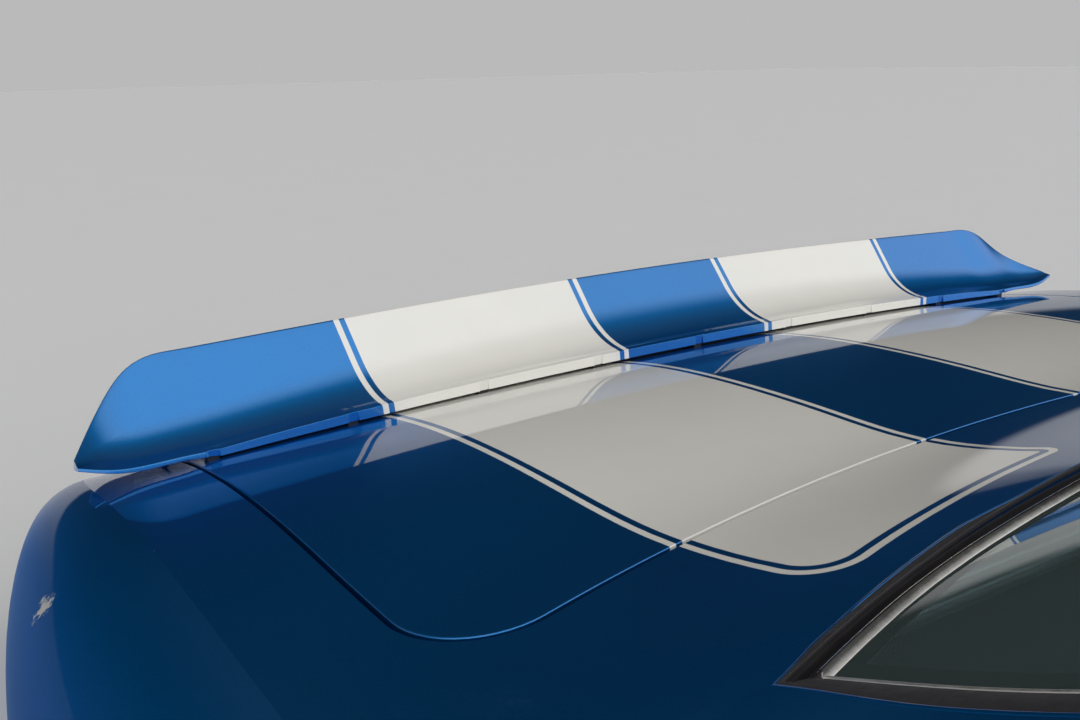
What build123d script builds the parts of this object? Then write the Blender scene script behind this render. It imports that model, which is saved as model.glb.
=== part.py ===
"""Rear deck section of a two-door muscle car: the boot lid with its full-width rear spoiler, hinged in
the body panels round it, from the tail panel forward to just behind the doors, with the rear window.

X is to the car's right, Y is forward, Z is up. Sizes are set out from the middle of the spoiler's front
lip, on the lid's surface. TO_FOOT then moves each piece so that the origin is the middle of the
section's foot, which stands on the floor.
"""

import math
import os

from build123d import *

# Driving sizes, in millimetres
FLOOR = -260.0  # lower edge of the section
FRONT = 1230.0  # plane behind the doors where the section ends
REAR = -215.0  # rear end of the quarter panels
TAIL = -205.0  # rear face of the tail panel on the centre line
TAIL_BOW = 5e-5  # the tail curves forward by this much times the square of x
WALL = 15.0  # outer wall, skin and inner panel together
SEAM_X = 735.0  # seam between the tail panel and a quarter panel
GAP = 5.0  # shut line round the lid

# Boot lid
LID_HALF = 665.0
LID_FRONT = 447.0
LID_FRONT_BOW = 2e-4
LID_REAR = -168.0
LID_CORNER = 66.0
LID_REAR_CORNER = 24.0
LID_SKIN = 9.0  # outer skin
LID_DEPTH = 25.0  # skin and inner frame together
FRAME_IN = 22.0  # the frame starts this far inside the lid's edge
FRAME_BAND = 84.0

# Gutter and seal under the shut line, as depths below the outer surface
GUTTER_DEEP = 43.0
GUTTER_THICK = 5.0
GUTTER_IN = 31.0  # how far the gutter reaches in under the lid
SEAL_TOP = 30.0
SEAL_SEAT = 35.0

# Rear window
GLASS_REAR = 622.0
GLASS_REAR_BOW = 2.67e-4
GLASS_CORNER = (562.0, 709.0)
GLASS_SIDE = (577.0, 880.0)
GLASS_TOP = (560.0, 1096.0)
GLASS_TOP_MIDDLE = 1122.0
GLASS_DOWN = 4.0
GLASS_THICK = 5.0
CHANNEL_DOWN = 14.0
MOULD_OUT = 14.0  # outer edge of the bright moulding, inside the painted edge
MOULD_IN = 30.0
MOULD_PROUD = 2.0

# Rear spoiler
LIFT = 4.0  # the lip stands this far off the lid, on pads
PAD_PITCH = 164.0
PAD_SIDE = 4  # pads each side of the middle one, the last at the end of the strip
STRIP_NOTCH = 1.8  # how deep the face of the strip is let in at each pad

# Lid hinge
PIVOT = (590.0, -5.0)
HINGE_X = 430.0
PIN_RADIUS = 6.0
PIN_PLAY = 0.06
ARM_THICK = 10.0
ARM_WIDE = 26.0
ARM_SWEEP = 159.0  # radius of the goose neck's middle line about the pin
CHEEK_GAP = 5.0
CHEEK_THICK = 4.0

# Tail lamps
LAMP_X = 470.0
LAMP_Z = -160.0
LAMP_WIDE = 360.0
LAMP_HIGH = 92.0
LAMP_ROUND = 26.0

# Wheel arch, which the section's foot cuts near its top
ARCH_Y = 850.0
ARCH_Z = -570.0
ARCH_RADIUS = 370.0

# Windows of the seat bulkhead
WINDOW_TOP = -43.0
WINDOW_FOOT = -213.0

DEEP = 700.0  # how far the cutting prisms reach above and below

TO_FOOT = Location((0, -(REAR + FRONT) / 2, -FLOOR))

# The lower body in evenly spaced slices: y, centre height, deck edge x and z, widest x, foot x
BODY = [
    (-240, -77.5, 731, -93, 766, 751),
    (-125, -31.3, 751, -53.3, 810.4, 796.4),
    (-10, -1.9, 764, -25, 842.5, 829.4),
    (105, 14.3, 764, -8, 868.4, 856.3),
    (220, 20.9, 764, 0.8, 884.8, 873.5),
    (335, 21.7, 764, 2, 896.2, 885.7),
    (450, 23.4, 764, 1.9, 906.5, 897),
    (565, 47.1, 764, 3.3, 916.9, 908.6),
    (680, 80.2, 764, 10.6, 926, 919),
    (795, 93, 764, 17.4, 933, 926.5),
    (910, 96.9, 764, 21.4, 937.6, 931.6),
    (1025, 98, 764, 23.8, 940, 934.5),
    (1140, 98, 764, 25.3, 940, 934.5),
    (1255, 98, 764, 26, 938.5, 933),
]

# The roof, rear window and pillars in even slices: y, centre height, rail x, twice the crown radius, foot z
ROOF = [
    (565, 30, 571, 5700, -11.5),
    (680, 95.5, 594, 5620, -1.5),
    (795, 161, 614, 4950, 7),
    (910, 227, 620, 4480, 11.8),
    (1025, 294.5, 614, 4460, 13.3),
    (1140, 343.5, 603, 4780, 14.6),
    (1255, 359, 594, 5400, 16),
]
ROOF_FOOT_X = 778.0
RAIL_OUT = 30.0
RAIL_DOWN = 26.0
PILLAR_HOLLOW = 0.12  # the pillar's side is hollowed by this share of its length

# The spoiler in slices: x, lip y, lip z, lip height, then y and z of the blade's root, its bend, where
# the bend ends, its top, its back foot and the middle of its underside
SPOILER = [
    (0, 0, 4, 11.2, -9.8, 16.5, -50.7, 28.7, -84.8, 55, -115.5, 89.7, -160, -34, -75, -9),
    (320, 0, -0.3, 11.2, -11.4, 12.4, -48.9, 23.8, -80, 48, -114, 86.4, -152, -37, -72, -12),
    (606, 0, -11.7, 7.9, -15.2, -1.6, -44.4, 8.2, -68.4, 28.8, -108.5, 79, -134, -39.4, -62, -18.8),
    (640, 0, -13.6, 7, -16, -4.2, -43.5, 5, -66, 25, -107, 77.8, -129, -40, -60, -20),
    (674, 1, -11, 4.6, -14, -5, -41, 3.6, -62, 22.5, -103, 76.8, -124, -40, -53, -19),
    (708, 2.5, -11.5, 4.6, -11, -5.8, -36.5, 1.5, -56, 17, -94.5, 63.5, -114, -38, -46, -19),
    (742, 5, -8.5, 4, -6, -3.8, -27, -0.2, -43, 8.5, -71, 31.5, -92, -31, -38, -16),
    (776, 0, 0, 3, -4, 3.3, -8, 3.9, -12, 4.8, -16, 6, -24, -6, -11, -3),
]
SPOILER_END = 640  # the ends start to curl here


def shoulder_points(edge_x, edge_z, wide_x):
    """Middle and end of the round shoulder, which leaves the deck level and ends upright."""
    reach = wide_x - edge_x
    wide_z = edge_z - 1.06 * reach
    drop = edge_z - wide_z
    radius = (reach**2 + drop**2) / (2 * reach)
    half_turn = math.asin(min(1.0, drop / radius)) / 2
    middle = (wide_x - radius + radius * math.cos(half_turn), wide_z + radius * math.sin(half_turn))
    return middle, (wide_x, wide_z)


def body_slice(row, inset, foot):
    """One closed slice across the lower body, drawn inset from the outer surface."""
    y, top, edge_x, edge_z, wide_x, foot_x = row
    top, edge_z = top - inset, edge_z - inset
    edge_x, wide_x, foot_x = edge_x - inset / 2, wide_x - inset, foot_x - inset
    middle, widest = shoulder_points(edge_x, edge_z, wide_x)
    low = ((widest[0] + foot_x) / 2 + 4, (widest[1] + foot) / 2)
    with BuildSketch(Plane.XZ.offset(-y)) as slice_face:
        with BuildLine():
            ThreePointArc((-edge_x, edge_z), (0, top), (edge_x, edge_z))
            for side in (1, -1):
                ThreePointArc((side * edge_x, edge_z), (side * middle[0], middle[1]), (side * widest[0], widest[1]))
                ThreePointArc((side * widest[0], widest[1]), (side * low[0], low[1]), (side * foot_x, foot))
            Line((-foot_x, foot), (foot_x, foot))
        make_face()
    return slice_face.sketch


def roof_slice(row, inset):
    """One closed slice across the roof, window and pillars."""
    y, top, rail_x, crown, foot_z = row
    top, rail_x = top - inset, rail_x - inset / 2
    rail_z = top - rail_x**2 / crown
    corner = (rail_x + RAIL_OUT, rail_z - RAIL_DOWN)
    turn = (rail_x + 0.62 * RAIL_OUT, rail_z - 0.36 * RAIL_DOWN)
    foot = (ROOF_FOOT_X - 1.3 * inset, foot_z - inset / 4)
    run, fall = foot[0] - corner[0], corner[1] - foot[1]
    hollow = math.copysign(PILLAR_HOLLOW, fall)
    waist = ((corner[0] + foot[0]) / 2 - hollow * abs(fall), (corner[1] + foot[1]) / 2 - hollow * run)
    base = FLOOR / 2
    with BuildSketch(Plane.XZ.offset(-y)) as slice_face:
        with BuildLine():
            ThreePointArc((-rail_x, rail_z), (0, top), (rail_x, rail_z))
            for side in (1, -1):
                ThreePointArc((side * rail_x, rail_z), (side * turn[0], turn[1]), (side * corner[0], corner[1]))
                ThreePointArc((side * corner[0], corner[1]), (side * waist[0], waist[1]), (side * foot[0], foot[1]))
                Line((side * foot[0], foot[1]), (side * foot[0], base))
            Line((-foot[0], base), (foot[0], base))
        make_face()
    return slice_face.sketch


def body_hull(inset):
    """The lower body as one solid, drawn on past the section's foot."""
    with BuildPart() as hull:
        loft([body_slice(row, inset, FLOOR - 20 - inset) for row in BODY])
    return hull.part


def roof_hull(inset):
    with BuildPart() as hull:
        loft([roof_slice(row, inset) for row in ROOF])
    return hull.part


def bowed(x, middle, bow):
    return middle + bow * x**2


def lid_plan(grow):
    """Plan outline of the lid, grown or shrunk all round."""
    half = LID_HALF + grow
    front, rear = LID_FRONT + grow, LID_REAR - grow
    front_side = bowed(half, front, LID_FRONT_BOW)
    rear_side = bowed(half, rear, TAIL_BOW)
    with BuildSketch() as plan:
        with BuildLine():
            ThreePointArc((-half, front_side), (0, front), (half, front_side))
            Line((half, front_side), (half, rear_side))
            ThreePointArc((half, rear_side), (0, rear), (-half, rear_side))
            Line((-half, rear_side), (-half, front_side))
        make_face()
        corners = plan.vertices().group_by(Axis.Y)
        fillet(corners[-1], max(LID_CORNER + grow, 24))
        fillet(corners[0], max(LID_REAR_CORNER + grow, 6))
    return plan.sketch


def glass_plan(shrink):
    """Plan outline of the rear window, shrunk all round."""
    with BuildSketch() as plan:
        with BuildLine():
            rear_side = bowed(GLASS_CORNER[0], GLASS_REAR, GLASS_REAR_BOW)
            ThreePointArc((-GLASS_CORNER[0], rear_side), (0, GLASS_REAR), (GLASS_CORNER[0], rear_side))
            for side in (1, -1):
                ThreePointArc(
                    (side * GLASS_CORNER[0], rear_side),
                    (side * GLASS_SIDE[0], GLASS_SIDE[1]),
                    (side * GLASS_TOP[0], GLASS_TOP[1]),
                )
            ThreePointArc((-GLASS_TOP[0], GLASS_TOP[1]), (0, GLASS_TOP_MIDDLE), (GLASS_TOP[0], GLASS_TOP[1]))
        make_face()
        fillet(plan.vertices().group_by(Axis.Y)[-1], 45)
        if shrink:
            offset(amount=-shrink, kind=Kind.INTERSECTION)
    return plan.sketch


def prism(plan, low=-DEEP, high=DEEP):
    with BuildPart() as solid:
        with BuildSketch(Plane.XY.offset(low)):
            add(plan)
        extrude(amount=high - low)
    return solid.part


def block(x, y, z):
    """A block between two values on each axis."""
    with BuildPart() as solid:
        with Locations((sum(x) / 2, sum(y) / 2, sum(z) / 2)):
            Box(x[1] - x[0], y[1] - y[0], z[1] - z[0])
    return solid.part


def tail_prism(rear, front):
    """Upright slab across the car between two bowed faces, for the tail panel."""
    half = 820
    with BuildSketch() as plan:
        with BuildLine():
            for middle in (rear, front):
                side_y = bowed(half, middle, TAIL_BOW)
                ThreePointArc((-half, side_y), (0, middle), (half, side_y))
            for side in (1, -1):
                rear_y, front_y = bowed(half, rear, TAIL_BOW), bowed(half, front, TAIL_BOW)
                Line((side * half, rear_y), (side * half, front_y))
        make_face()
    return prism(plan.sketch)


# The masters that the panels are cut from
lower_body = body_hull(0)
outer = lower_body + roof_hull(0)
inner = body_hull(WALL) + roof_hull(WALL)
below_skin = body_hull(LID_SKIN)
below_frame = body_hull(LID_DEPTH)
section = block((-1000, 1000), (REAR, FRONT), (FLOOR, DEEP))
shell = (outer & section) - inner
lid_opening = prism(lid_plan(GAP))
glass_opening = prism(glass_plan(0), low=0)

# Regions of the shell that the panels take
deck_region = block((-LID_HALF - GAP, LID_HALF + GAP), (300, 730), (-60, DEEP))
roof_region = block((-555, 555), (1085, 1400), (200, DEEP))
tail_slab = tail_prism(TAIL, TAIL + WALL)
behind_lid = block((-SEAM_X, SEAM_X), (REAR, LID_REAR + 60), (-150, DEEP)) & tail_prism(TAIL, LID_REAR + 60)

with BuildPart() as deck_panel:
    add(shell)
    add(deck_region, mode=Mode.INTERSECT)
    add(lid_opening, mode=Mode.SUBTRACT)
    add(glass_opening, mode=Mode.SUBTRACT)

with BuildPart() as roof_panel:
    add(shell)
    add(roof_region, mode=Mode.INTERSECT)
    add(glass_opening, mode=Mode.SUBTRACT)

# Tail panel: the strip behind the lid, and the upright face with its pressed recess and lamp openings
with BuildPart() as recess:
    with BuildSketch(Plane.XZ.offset(-REAR)):
        with Locations((0, LAMP_Z)):
            RectangleRounded(2 * LAMP_X + LAMP_WIDE + 44, LAMP_HIGH + 44, LAMP_ROUND + 12)
    extrude(amount=-120)
tail_recess = recess.part & tail_prism(TAIL - 20, TAIL + 5)
with BuildPart() as tail_panel:
    add(inner)
    add(section, mode=Mode.INTERSECT)
    add(tail_slab, mode=Mode.INTERSECT)
    add(shell & behind_lid)
    add(lid_opening, mode=Mode.SUBTRACT)
    for side in (1, -1):
        with BuildSketch(Plane.XZ.offset(-REAR)):
            with Locations((side * LAMP_X, LAMP_Z)):
                RectangleRounded(LAMP_WIDE, LAMP_HIGH, LAMP_ROUND)
        extrude(amount=-120, mode=Mode.SUBTRACT)
    add(tail_recess, mode=Mode.SUBTRACT)


def half_of(side, x=0):
    """Everything on one side of the car, from a distance off its centre line."""
    return block((x, 1000) if side > 0 else (-1000, -x), (-400, 1400), (-DEEP, DEEP))


def quarter(side):
    """One quarter panel, out to its seams with the lid's surround, the tail panel and the pillar."""
    with BuildPart() as panel:
        add(shell & half_of(side, 400))
        add(deck_region, mode=Mode.SUBTRACT)
        add(behind_lid, mode=Mode.SUBTRACT)
        add(lid_opening, mode=Mode.SUBTRACT)
        add(lower_body, mode=Mode.INTERSECT)
        add(glass_opening, mode=Mode.SUBTRACT)
        with BuildSketch(Plane.YZ.offset(-1000)):
            with Locations((ARCH_Y, ARCH_Z)):
                Circle(ARCH_RADIUS)
        extrude(amount=2000, mode=Mode.SUBTRACT)
    return panel


def sail(side):
    """The pillar beside the rear window, standing on the quarter panel."""
    with BuildPart() as panel:
        add(shell & half_of(side, 400))
        add(deck_region, mode=Mode.SUBTRACT)
        add(roof_region, mode=Mode.SUBTRACT)
        add(lower_body, mode=Mode.SUBTRACT)
        add(glass_opening, mode=Mode.SUBTRACT)
    return panel


quarter_right = quarter(1)
quarter_left = quarter(-1)
sail_right = sail(1)
sail_left = sail(-1)


def layer(upper, lower, plan):
    """What lies inside a plan between two surfaces of the body."""
    return (upper & prism(plan)) - lower


def ring(outer_grow, inner_grow):
    """Plan of the ring between two outlines of the lid."""
    return lid_plan(outer_grow) - lid_plan(inner_grow)


# Gutter round the opening, with the upstand that carries the seal
under_wall = body_hull(WALL)
seal_top = body_hull(SEAL_TOP)
seal_seat = body_hull(SEAL_SEAT)
trough_top = body_hull(GUTTER_DEEP - GUTTER_THICK)
trough_under = body_hull(GUTTER_DEEP)

with BuildPart() as gutter:
    add(layer(under_wall, trough_under, ring(GAP + GUTTER_THICK, GAP)))
    add(layer(trough_top, trough_under, ring(GAP + GUTTER_THICK, -GUTTER_IN)))
    add(layer(seal_seat, trough_under, ring(-GUTTER_IN + 4, -GUTTER_IN)))

with BuildPart() as weatherstrip:
    add(layer(seal_top, seal_seat, ring(-GUTTER_IN + 6, -GUTTER_IN - 2)))

with BuildPart() as lid_bumpers:
    for side in (1, -1):
        for y in (-60, 330):
            with BuildSketch(Plane.XY.offset(-200)):
                with Locations((side * (LID_HALF - 9), y)):
                    Circle(6)
            extrude(amount=400)
    add(body_hull(LID_SKIN + 5), mode=Mode.INTERSECT)
    add(trough_top, mode=Mode.SUBTRACT)

# Boot lid: skin, pressed inner frame, and the goose-neck arms
with BuildPart() as lid_skin:
    add(layer(outer, below_skin, lid_plan(0)))

with BuildSketch() as frame_plan:
    add(lid_plan(-FRAME_IN))
    add(lid_plan(-FRAME_IN - FRAME_BAND), mode=Mode.SUBTRACT)
    for side in (1, -1):
        with Locations((side * HINGE_X, 160)):
            Rectangle(84, 640)
        with Locations((side * 215, 140)):
            Rectangle(70, 760, rotation=side * -36)
    with Locations((0, 60)):
        Rectangle(110, 460)
    add(lid_plan(-FRAME_IN), mode=Mode.INTERSECT)

with BuildPart() as lid_frame:
    add(layer(below_skin, below_frame, frame_plan.sketch))


def on_pivot(radius, degrees):
    """Point round the lid's hinge pin, the angle counted from forward through up."""
    turn = math.radians(degrees)
    return (PIVOT[0] + radius * math.cos(turn), PIVOT[1] + radius * math.sin(turn))


def hinge_arm(side):
    """Goose-neck arm: an eye on the pin, a leg down, a bend round under the gutter, a foot on the lid."""
    inside, outside = ARM_SWEEP - ARM_WIDE / 2, ARM_SWEEP + ARM_WIDE / 2
    leg = 262
    with BuildPart() as arm:
        with BuildSketch(Plane.YZ.offset(side * HINGE_X - ARM_THICK / 2)):
            with BuildLine():
                ThreePointArc(on_pivot(inside, leg), on_pivot(inside, 220), on_pivot(inside, 176))
                Line(on_pivot(inside, 176), on_pivot(outside, 176))
                ThreePointArc(on_pivot(outside, 176), on_pivot(outside, 220), on_pivot(outside, leg))
                Line(on_pivot(outside, leg), on_pivot(inside, leg))
            make_face()
            with Locations(on_pivot((outside) / 2, leg)):
                Rectangle(outside, ARM_WIDE, rotation=leg)
            with Locations(PIVOT):
                Circle(ARM_WIDE / 2 + 4)
            with Locations(PIVOT):
                Circle(PIN_RADIUS + PIN_PLAY, mode=Mode.SUBTRACT)
        extrude(amount=ARM_THICK)
        add(below_frame, mode=Mode.INTERSECT)
        x = (side * HINGE_X - 20, side * HINGE_X + 20)
        add((below_frame & block(x, (190, 440), (-200, 200))) - seal_top)
    return arm


hinge_arm_right = hinge_arm(1)
hinge_arm_left = hinge_arm(-1)


def hinge_bracket(side):
    """Channel under the deck panel, with two cheeks and the pin."""
    middle = side * HINGE_X
    gap = ARM_THICK / 2 + CHEEK_GAP
    with BuildPart() as bracket:
        for cheek in (middle - gap - CHEEK_THICK, middle + gap):
            with BuildSketch(Plane.YZ.offset(cheek)):
                with BuildLine():
                    Polyline((574, 40), (574, -8), (604, -18), (652, 8), (652, 60), (574, 40))
                make_face()
                with Locations(PIVOT):
                    Circle(18)
            extrude(amount=CHEEK_THICK)
        add(block((middle - gap, middle + gap), (608, 652), (-20, 80)) - body_hull(WALL + 4))
        add(under_wall, mode=Mode.INTERSECT)
        with BuildSketch(Plane.YZ.offset(middle - gap - CHEEK_THICK - 3)):
            with Locations(PIVOT):
                Circle(PIN_RADIUS)
        extrude(amount=2 * (gap + CHEEK_THICK + 3))
    return bracket


hinge_bracket_right = hinge_bracket(1)
hinge_bracket_left = hinge_bracket(-1)

with BuildPart() as torsion_rods:
    reach = HINGE_X - ARM_THICK / 2 - CHEEK_GAP - CHEEK_THICK
    for y in (622, 640):
        with BuildSketch(Plane.YZ.offset(-reach)):
            with Locations((y, 0)):
                Circle(5)
        extrude(amount=2 * reach)

# Latch on the lid and the loop it closes on
with BuildPart() as latch:
    add(block((-30, 30), (-128, -82), (-80, 0)))
    add(block((-30, 30), (-114, -96), (-90, -62)), mode=Mode.SUBTRACT)
    add(below_frame, mode=Mode.INTERSECT)

with BuildPart() as striker:
    with BuildLine() as loop:
        FilletPolyline((-41, -105, -102), (-41, -105, -71), (41, -105, -71), (41, -105, -102), radius=9)
    with BuildSketch(Plane.XY.offset(-102)):
        with Locations((-41, -105)):
            Circle(4)
    sweep(path=loop.line)
    add(block((-55, 55), (-200, -90), (-105, -100)))
    add(tail_prism(TAIL - 100, TAIL + WALL), mode=Mode.SUBTRACT)

# Rear window, its channel and bright mouldings
wide_glass = roof_hull(GLASS_DOWN + GLASS_THICK)


def glass_ring(outer_shrink, inner_shrink):
    return glass_plan(outer_shrink) - glass_plan(inner_shrink)


def glass_layer(upper, lower, plan):
    return (upper & prism(plan, low=0)) - lower


with BuildPart() as window_channel:
    add(glass_layer(wide_glass, roof_hull(CHANNEL_DOWN), glass_ring(0, 36)))
    add(glass_layer(roof_hull(3), wide_glass, glass_ring(0, 5)))

with BuildPart() as rear_window:
    add(glass_layer(roof_hull(GLASS_DOWN), wide_glass, glass_plan(18)))

mould_top = roof_hull(-MOULD_PROUD)
mould_under = roof_hull(GLASS_DOWN)
with BuildSketch() as lower_region:
    with BuildLine():
        Polyline((-600, 560), (600, 560), (575, 697), (500, 752), (-500, 752), (-575, 697), (-600, 560))
    make_face()
lower_part = prism(lower_region.sketch)
upper_part = block((-700, 700), (1062, 1200), (0, DEEP))

with BuildPart() as moulding_lower:
    add(glass_layer(mould_top, mould_under, glass_ring(MOULD_OUT, MOULD_IN)))
    add(lower_part, mode=Mode.INTERSECT)

with BuildPart() as moulding_upper:
    add(glass_layer(mould_top, mould_under, glass_ring(MOULD_OUT, MOULD_IN)))
    add(upper_part, mode=Mode.INTERSECT)


def side_moulding(side):
    x = (0, 700) if side > 0 else (-700, 0)
    with BuildPart() as moulding:
        add(glass_layer(mould_top, mould_under, glass_ring(MOULD_OUT + 4, MOULD_IN - 6)))
        add(block(x, (600, 1062), (0, DEEP)), mode=Mode.INTERSECT)
        add(lower_part, mode=Mode.SUBTRACT)
    return moulding


moulding_right = side_moulding(1)
moulding_left = side_moulding(-1)

# Package shelf, seat bulkhead and wheelhouses
wheel_hollow = Plane.YZ.offset(-1000)
with BuildPart() as wheel_space:
    with BuildSketch(wheel_hollow):
        with Locations((ARCH_Y, ARCH_Z)):
            Circle(ARCH_RADIUS + 8)
    extrude(amount=2000)
    add(block((-604, 604), (0, 1400), (-DEEP, DEEP)), mode=Mode.SUBTRACT)

with BuildPart() as package_shelf:
    add(block((-760, 760), (664, 991), (4, 10)))
    add(inner, mode=Mode.INTERSECT)

# The seat bulkhead is a frame of flat bars in one plane: a head under the shelf, a sill and five posts
with BuildPart() as bulkhead_plane:
    add(block((-900, 900), (985, 991), (FLOOR, 4)))
    add(inner, mode=Mode.INTERSECT)
    add(wheel_space.part, mode=Mode.SUBTRACT)

bulkhead_head = block((-1000, 1000), (980, 1000), (WINDOW_TOP, 10))
sill_room = block((-604, 604), (980, 1000), (FLOOR - 10, WINDOW_FOOT))
window_z = (WINDOW_TOP + WINDOW_FOOT) / 2

with BuildPart() as seat_bulkhead:
    add(bulkhead_plane.part)
    add(bulkhead_head, mode=Mode.INTERSECT)

with BuildPart() as bulkhead_sill:
    add(bulkhead_plane.part)
    add(sill_room, mode=Mode.INTERSECT)

with BuildPart() as bulkhead_posts:
    add(bulkhead_plane.part)
    add(bulkhead_head, mode=Mode.SUBTRACT)
    add(sill_room, mode=Mode.SUBTRACT)
    for side in (1, -1):
        with BuildSketch(Plane.XZ.offset(-1000)):
            with Locations((side * 140, window_z), (side * 410, window_z)):
                Rectangle(200, WINDOW_TOP - WINDOW_FOOT)
        extrude(amount=40, mode=Mode.SUBTRACT)


def wheelhouse(side):
    x = (604, 1000) if side > 0 else (-1000, -604)
    wall = (604, 610) if side > 0 else (-610, -604)
    with BuildPart() as house:
        add(wheel_space.part)
        with BuildSketch(wheel_hollow):
            with Locations((ARCH_Y, ARCH_Z)):
                Circle(ARCH_RADIUS + 2)
        extrude(amount=2000, mode=Mode.SUBTRACT)
        add(wheel_space.part & block(wall, (0, 1400), (-DEEP, DEEP)))
        add(block(x, (0, 1400), (FLOOR, 0)), mode=Mode.INTERSECT)
        add(inner, mode=Mode.INTERSECT)
    return house


wheelhouse_right = wheelhouse(1)
wheelhouse_left = wheelhouse(-1)


def lamp_prism(side, shrink):
    with BuildPart() as solid:
        with BuildSketch(Plane.XZ.offset(-REAR + 40)):
            with Locations((side * LAMP_X, LAMP_Z)):
                RectangleRounded(LAMP_WIDE - 2 * shrink, LAMP_HIGH - 2 * shrink, LAMP_ROUND - shrink)
        extrude(amount=-240)
    return solid.part


def lamp_piece(side, rear, front, shrink, hole):
    """A slab of the lamp opening between two depths behind the tail panel's face."""
    with BuildPart() as piece:
        add(tail_prism(TAIL + rear, TAIL + front) & lamp_prism(side, shrink))
        if hole:
            add(lamp_prism(side, hole), mode=Mode.SUBTRACT)
    return piece


lamp_bezel_right = lamp_piece(1, -4, WALL, 0, 8)
lamp_bezel_left = lamp_piece(-1, -4, WALL, 0, 8)
tail_lamp_right = lamp_piece(1, 1, 8, 8, 0)
tail_lamp_left = lamp_piece(-1, 1, 8, 8, 0)
lamp_housing_right = lamp_piece(1, WALL, WALL + 34, -4, 0)
lamp_housing_left = lamp_piece(-1, WALL, WALL + 34, -4, 0)


def spoiler_slice(row, side):
    x, lip_y, lip_z, high = row[:4]
    root, bend, neck, top, foot, under = zip(row[4::2], row[5::2])
    lip, lip_top = (lip_y, lip_z), (lip_y - 1, lip_z + high)
    crest = (top[0] - 0.6 * high, top[1] - 0.3 * high)
    with BuildSketch(Plane.YZ.offset(side * x)) as slice_face:
        with BuildLine():
            Line(lip, lip_top)
            Line(lip_top, root)
            ThreePointArc(root, bend, neck)
            Line(neck, top)
            Line(top, crest)
            Line(crest, foot)
            ThreePointArc(foot, under, lip)
        make_face()
    return slice_face.sketch


middle_rows = [row for row in SPOILER if row[0] in (0, 320, SPOILER_END)]
end_rows = [row for row in SPOILER if row[0] >= 606]
with BuildPart() as wing:
    left = [spoiler_slice(row, -1) for row in reversed(middle_rows[1:])]
    loft(left + [spoiler_slice(row, 1) for row in middle_rows])


def wing_end(side):
    x = (SPOILER_END, 800) if side > 0 else (-800, -SPOILER_END)
    with BuildPart() as end:
        loft([spoiler_slice(row, side) for row in end_rows])
        add(block(x, (-200, 100), (-100, 150)), mode=Mode.INTERSECT)
    return end.part


whole_wing = wing.part + wing_end(1) + wing_end(-1)

strip_room = block((-654, 654), (-9, 5), (-60, 60))
with BuildPart() as spoiler:
    add(whole_wing)
    add(strip_room, mode=Mode.SUBTRACT)

# A pad stands under the strip at each of these places, and the strip's face is let in there
pad_places = [place * PAD_PITCH for place in range(1 - PAD_SIDE, PAD_SIDE)] + [-646, 646]

with BuildPart() as spoiler_strip:
    add(whole_wing)
    add(strip_room, mode=Mode.INTERSECT)
    for x in pad_places:
        add(block((x - 6, x + 6), (-STRIP_NOTCH, 5), (-60, 60)), mode=Mode.SUBTRACT)

with BuildPart() as spoiler_pads:
    for x in pad_places:
        lip_z = bowed(x, LIFT, -4.2e-5)
        add(block((x - 6, x + 6), (-22, -3), (-60, lip_z + 2)))
    add(outer, mode=Mode.SUBTRACT)
    add(whole_wing, mode=Mode.SUBTRACT)

PIECES = {
    "quarter_right": quarter_right,
    "quarter_left": quarter_left,
    "sail_right": sail_right,
    "sail_left": sail_left,
    "roof_panel": roof_panel,
    "deck_panel": deck_panel,
    "tail_panel": tail_panel,
    "gutter": gutter,
    "weatherstrip": weatherstrip,
    "lid_bumpers": lid_bumpers,
    "lid_skin": lid_skin,
    "lid_frame": lid_frame,
    "hinge_arm_right": hinge_arm_right,
    "hinge_arm_left": hinge_arm_left,
    "hinge_bracket_right": hinge_bracket_right,
    "hinge_bracket_left": hinge_bracket_left,
    "torsion_rods": torsion_rods,
    "latch": latch,
    "striker": striker,
    "window_channel": window_channel,
    "rear_window": rear_window,
    "moulding_lower": moulding_lower,
    "moulding_upper": moulding_upper,
    "moulding_right": moulding_right,
    "moulding_left": moulding_left,
    "package_shelf": package_shelf,
    "seat_bulkhead": seat_bulkhead,
    "bulkhead_sill": bulkhead_sill,
    "bulkhead_posts": bulkhead_posts,
    "wheelhouse_right": wheelhouse_right,
    "wheelhouse_left": wheelhouse_left,
    "lamp_bezel_right": lamp_bezel_right,
    "lamp_bezel_left": lamp_bezel_left,
    "tail_lamp_right": tail_lamp_right,
    "tail_lamp_left": tail_lamp_left,
    "lamp_housing_right": lamp_housing_right,
    "lamp_housing_left": lamp_housing_left,
    "spoiler": spoiler,
    "spoiler_strip": spoiler_strip,
    "spoiler_pads": spoiler_pads,
}

os.makedirs("parts", exist_ok=True)
for label, piece in PIECES.items():
    placed = piece.part.moved(TO_FOOT)
    placed.label = label
    export_step(placed, f"parts/{label}.step")
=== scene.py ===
import math

import bmesh
import bpy
import numpy as np
from bpy.props import FloatProperty, FloatVectorProperty, PointerProperty
from mathutils import Matrix, Vector
from mathutils.geometry import delaunay_2d_cdt


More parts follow.
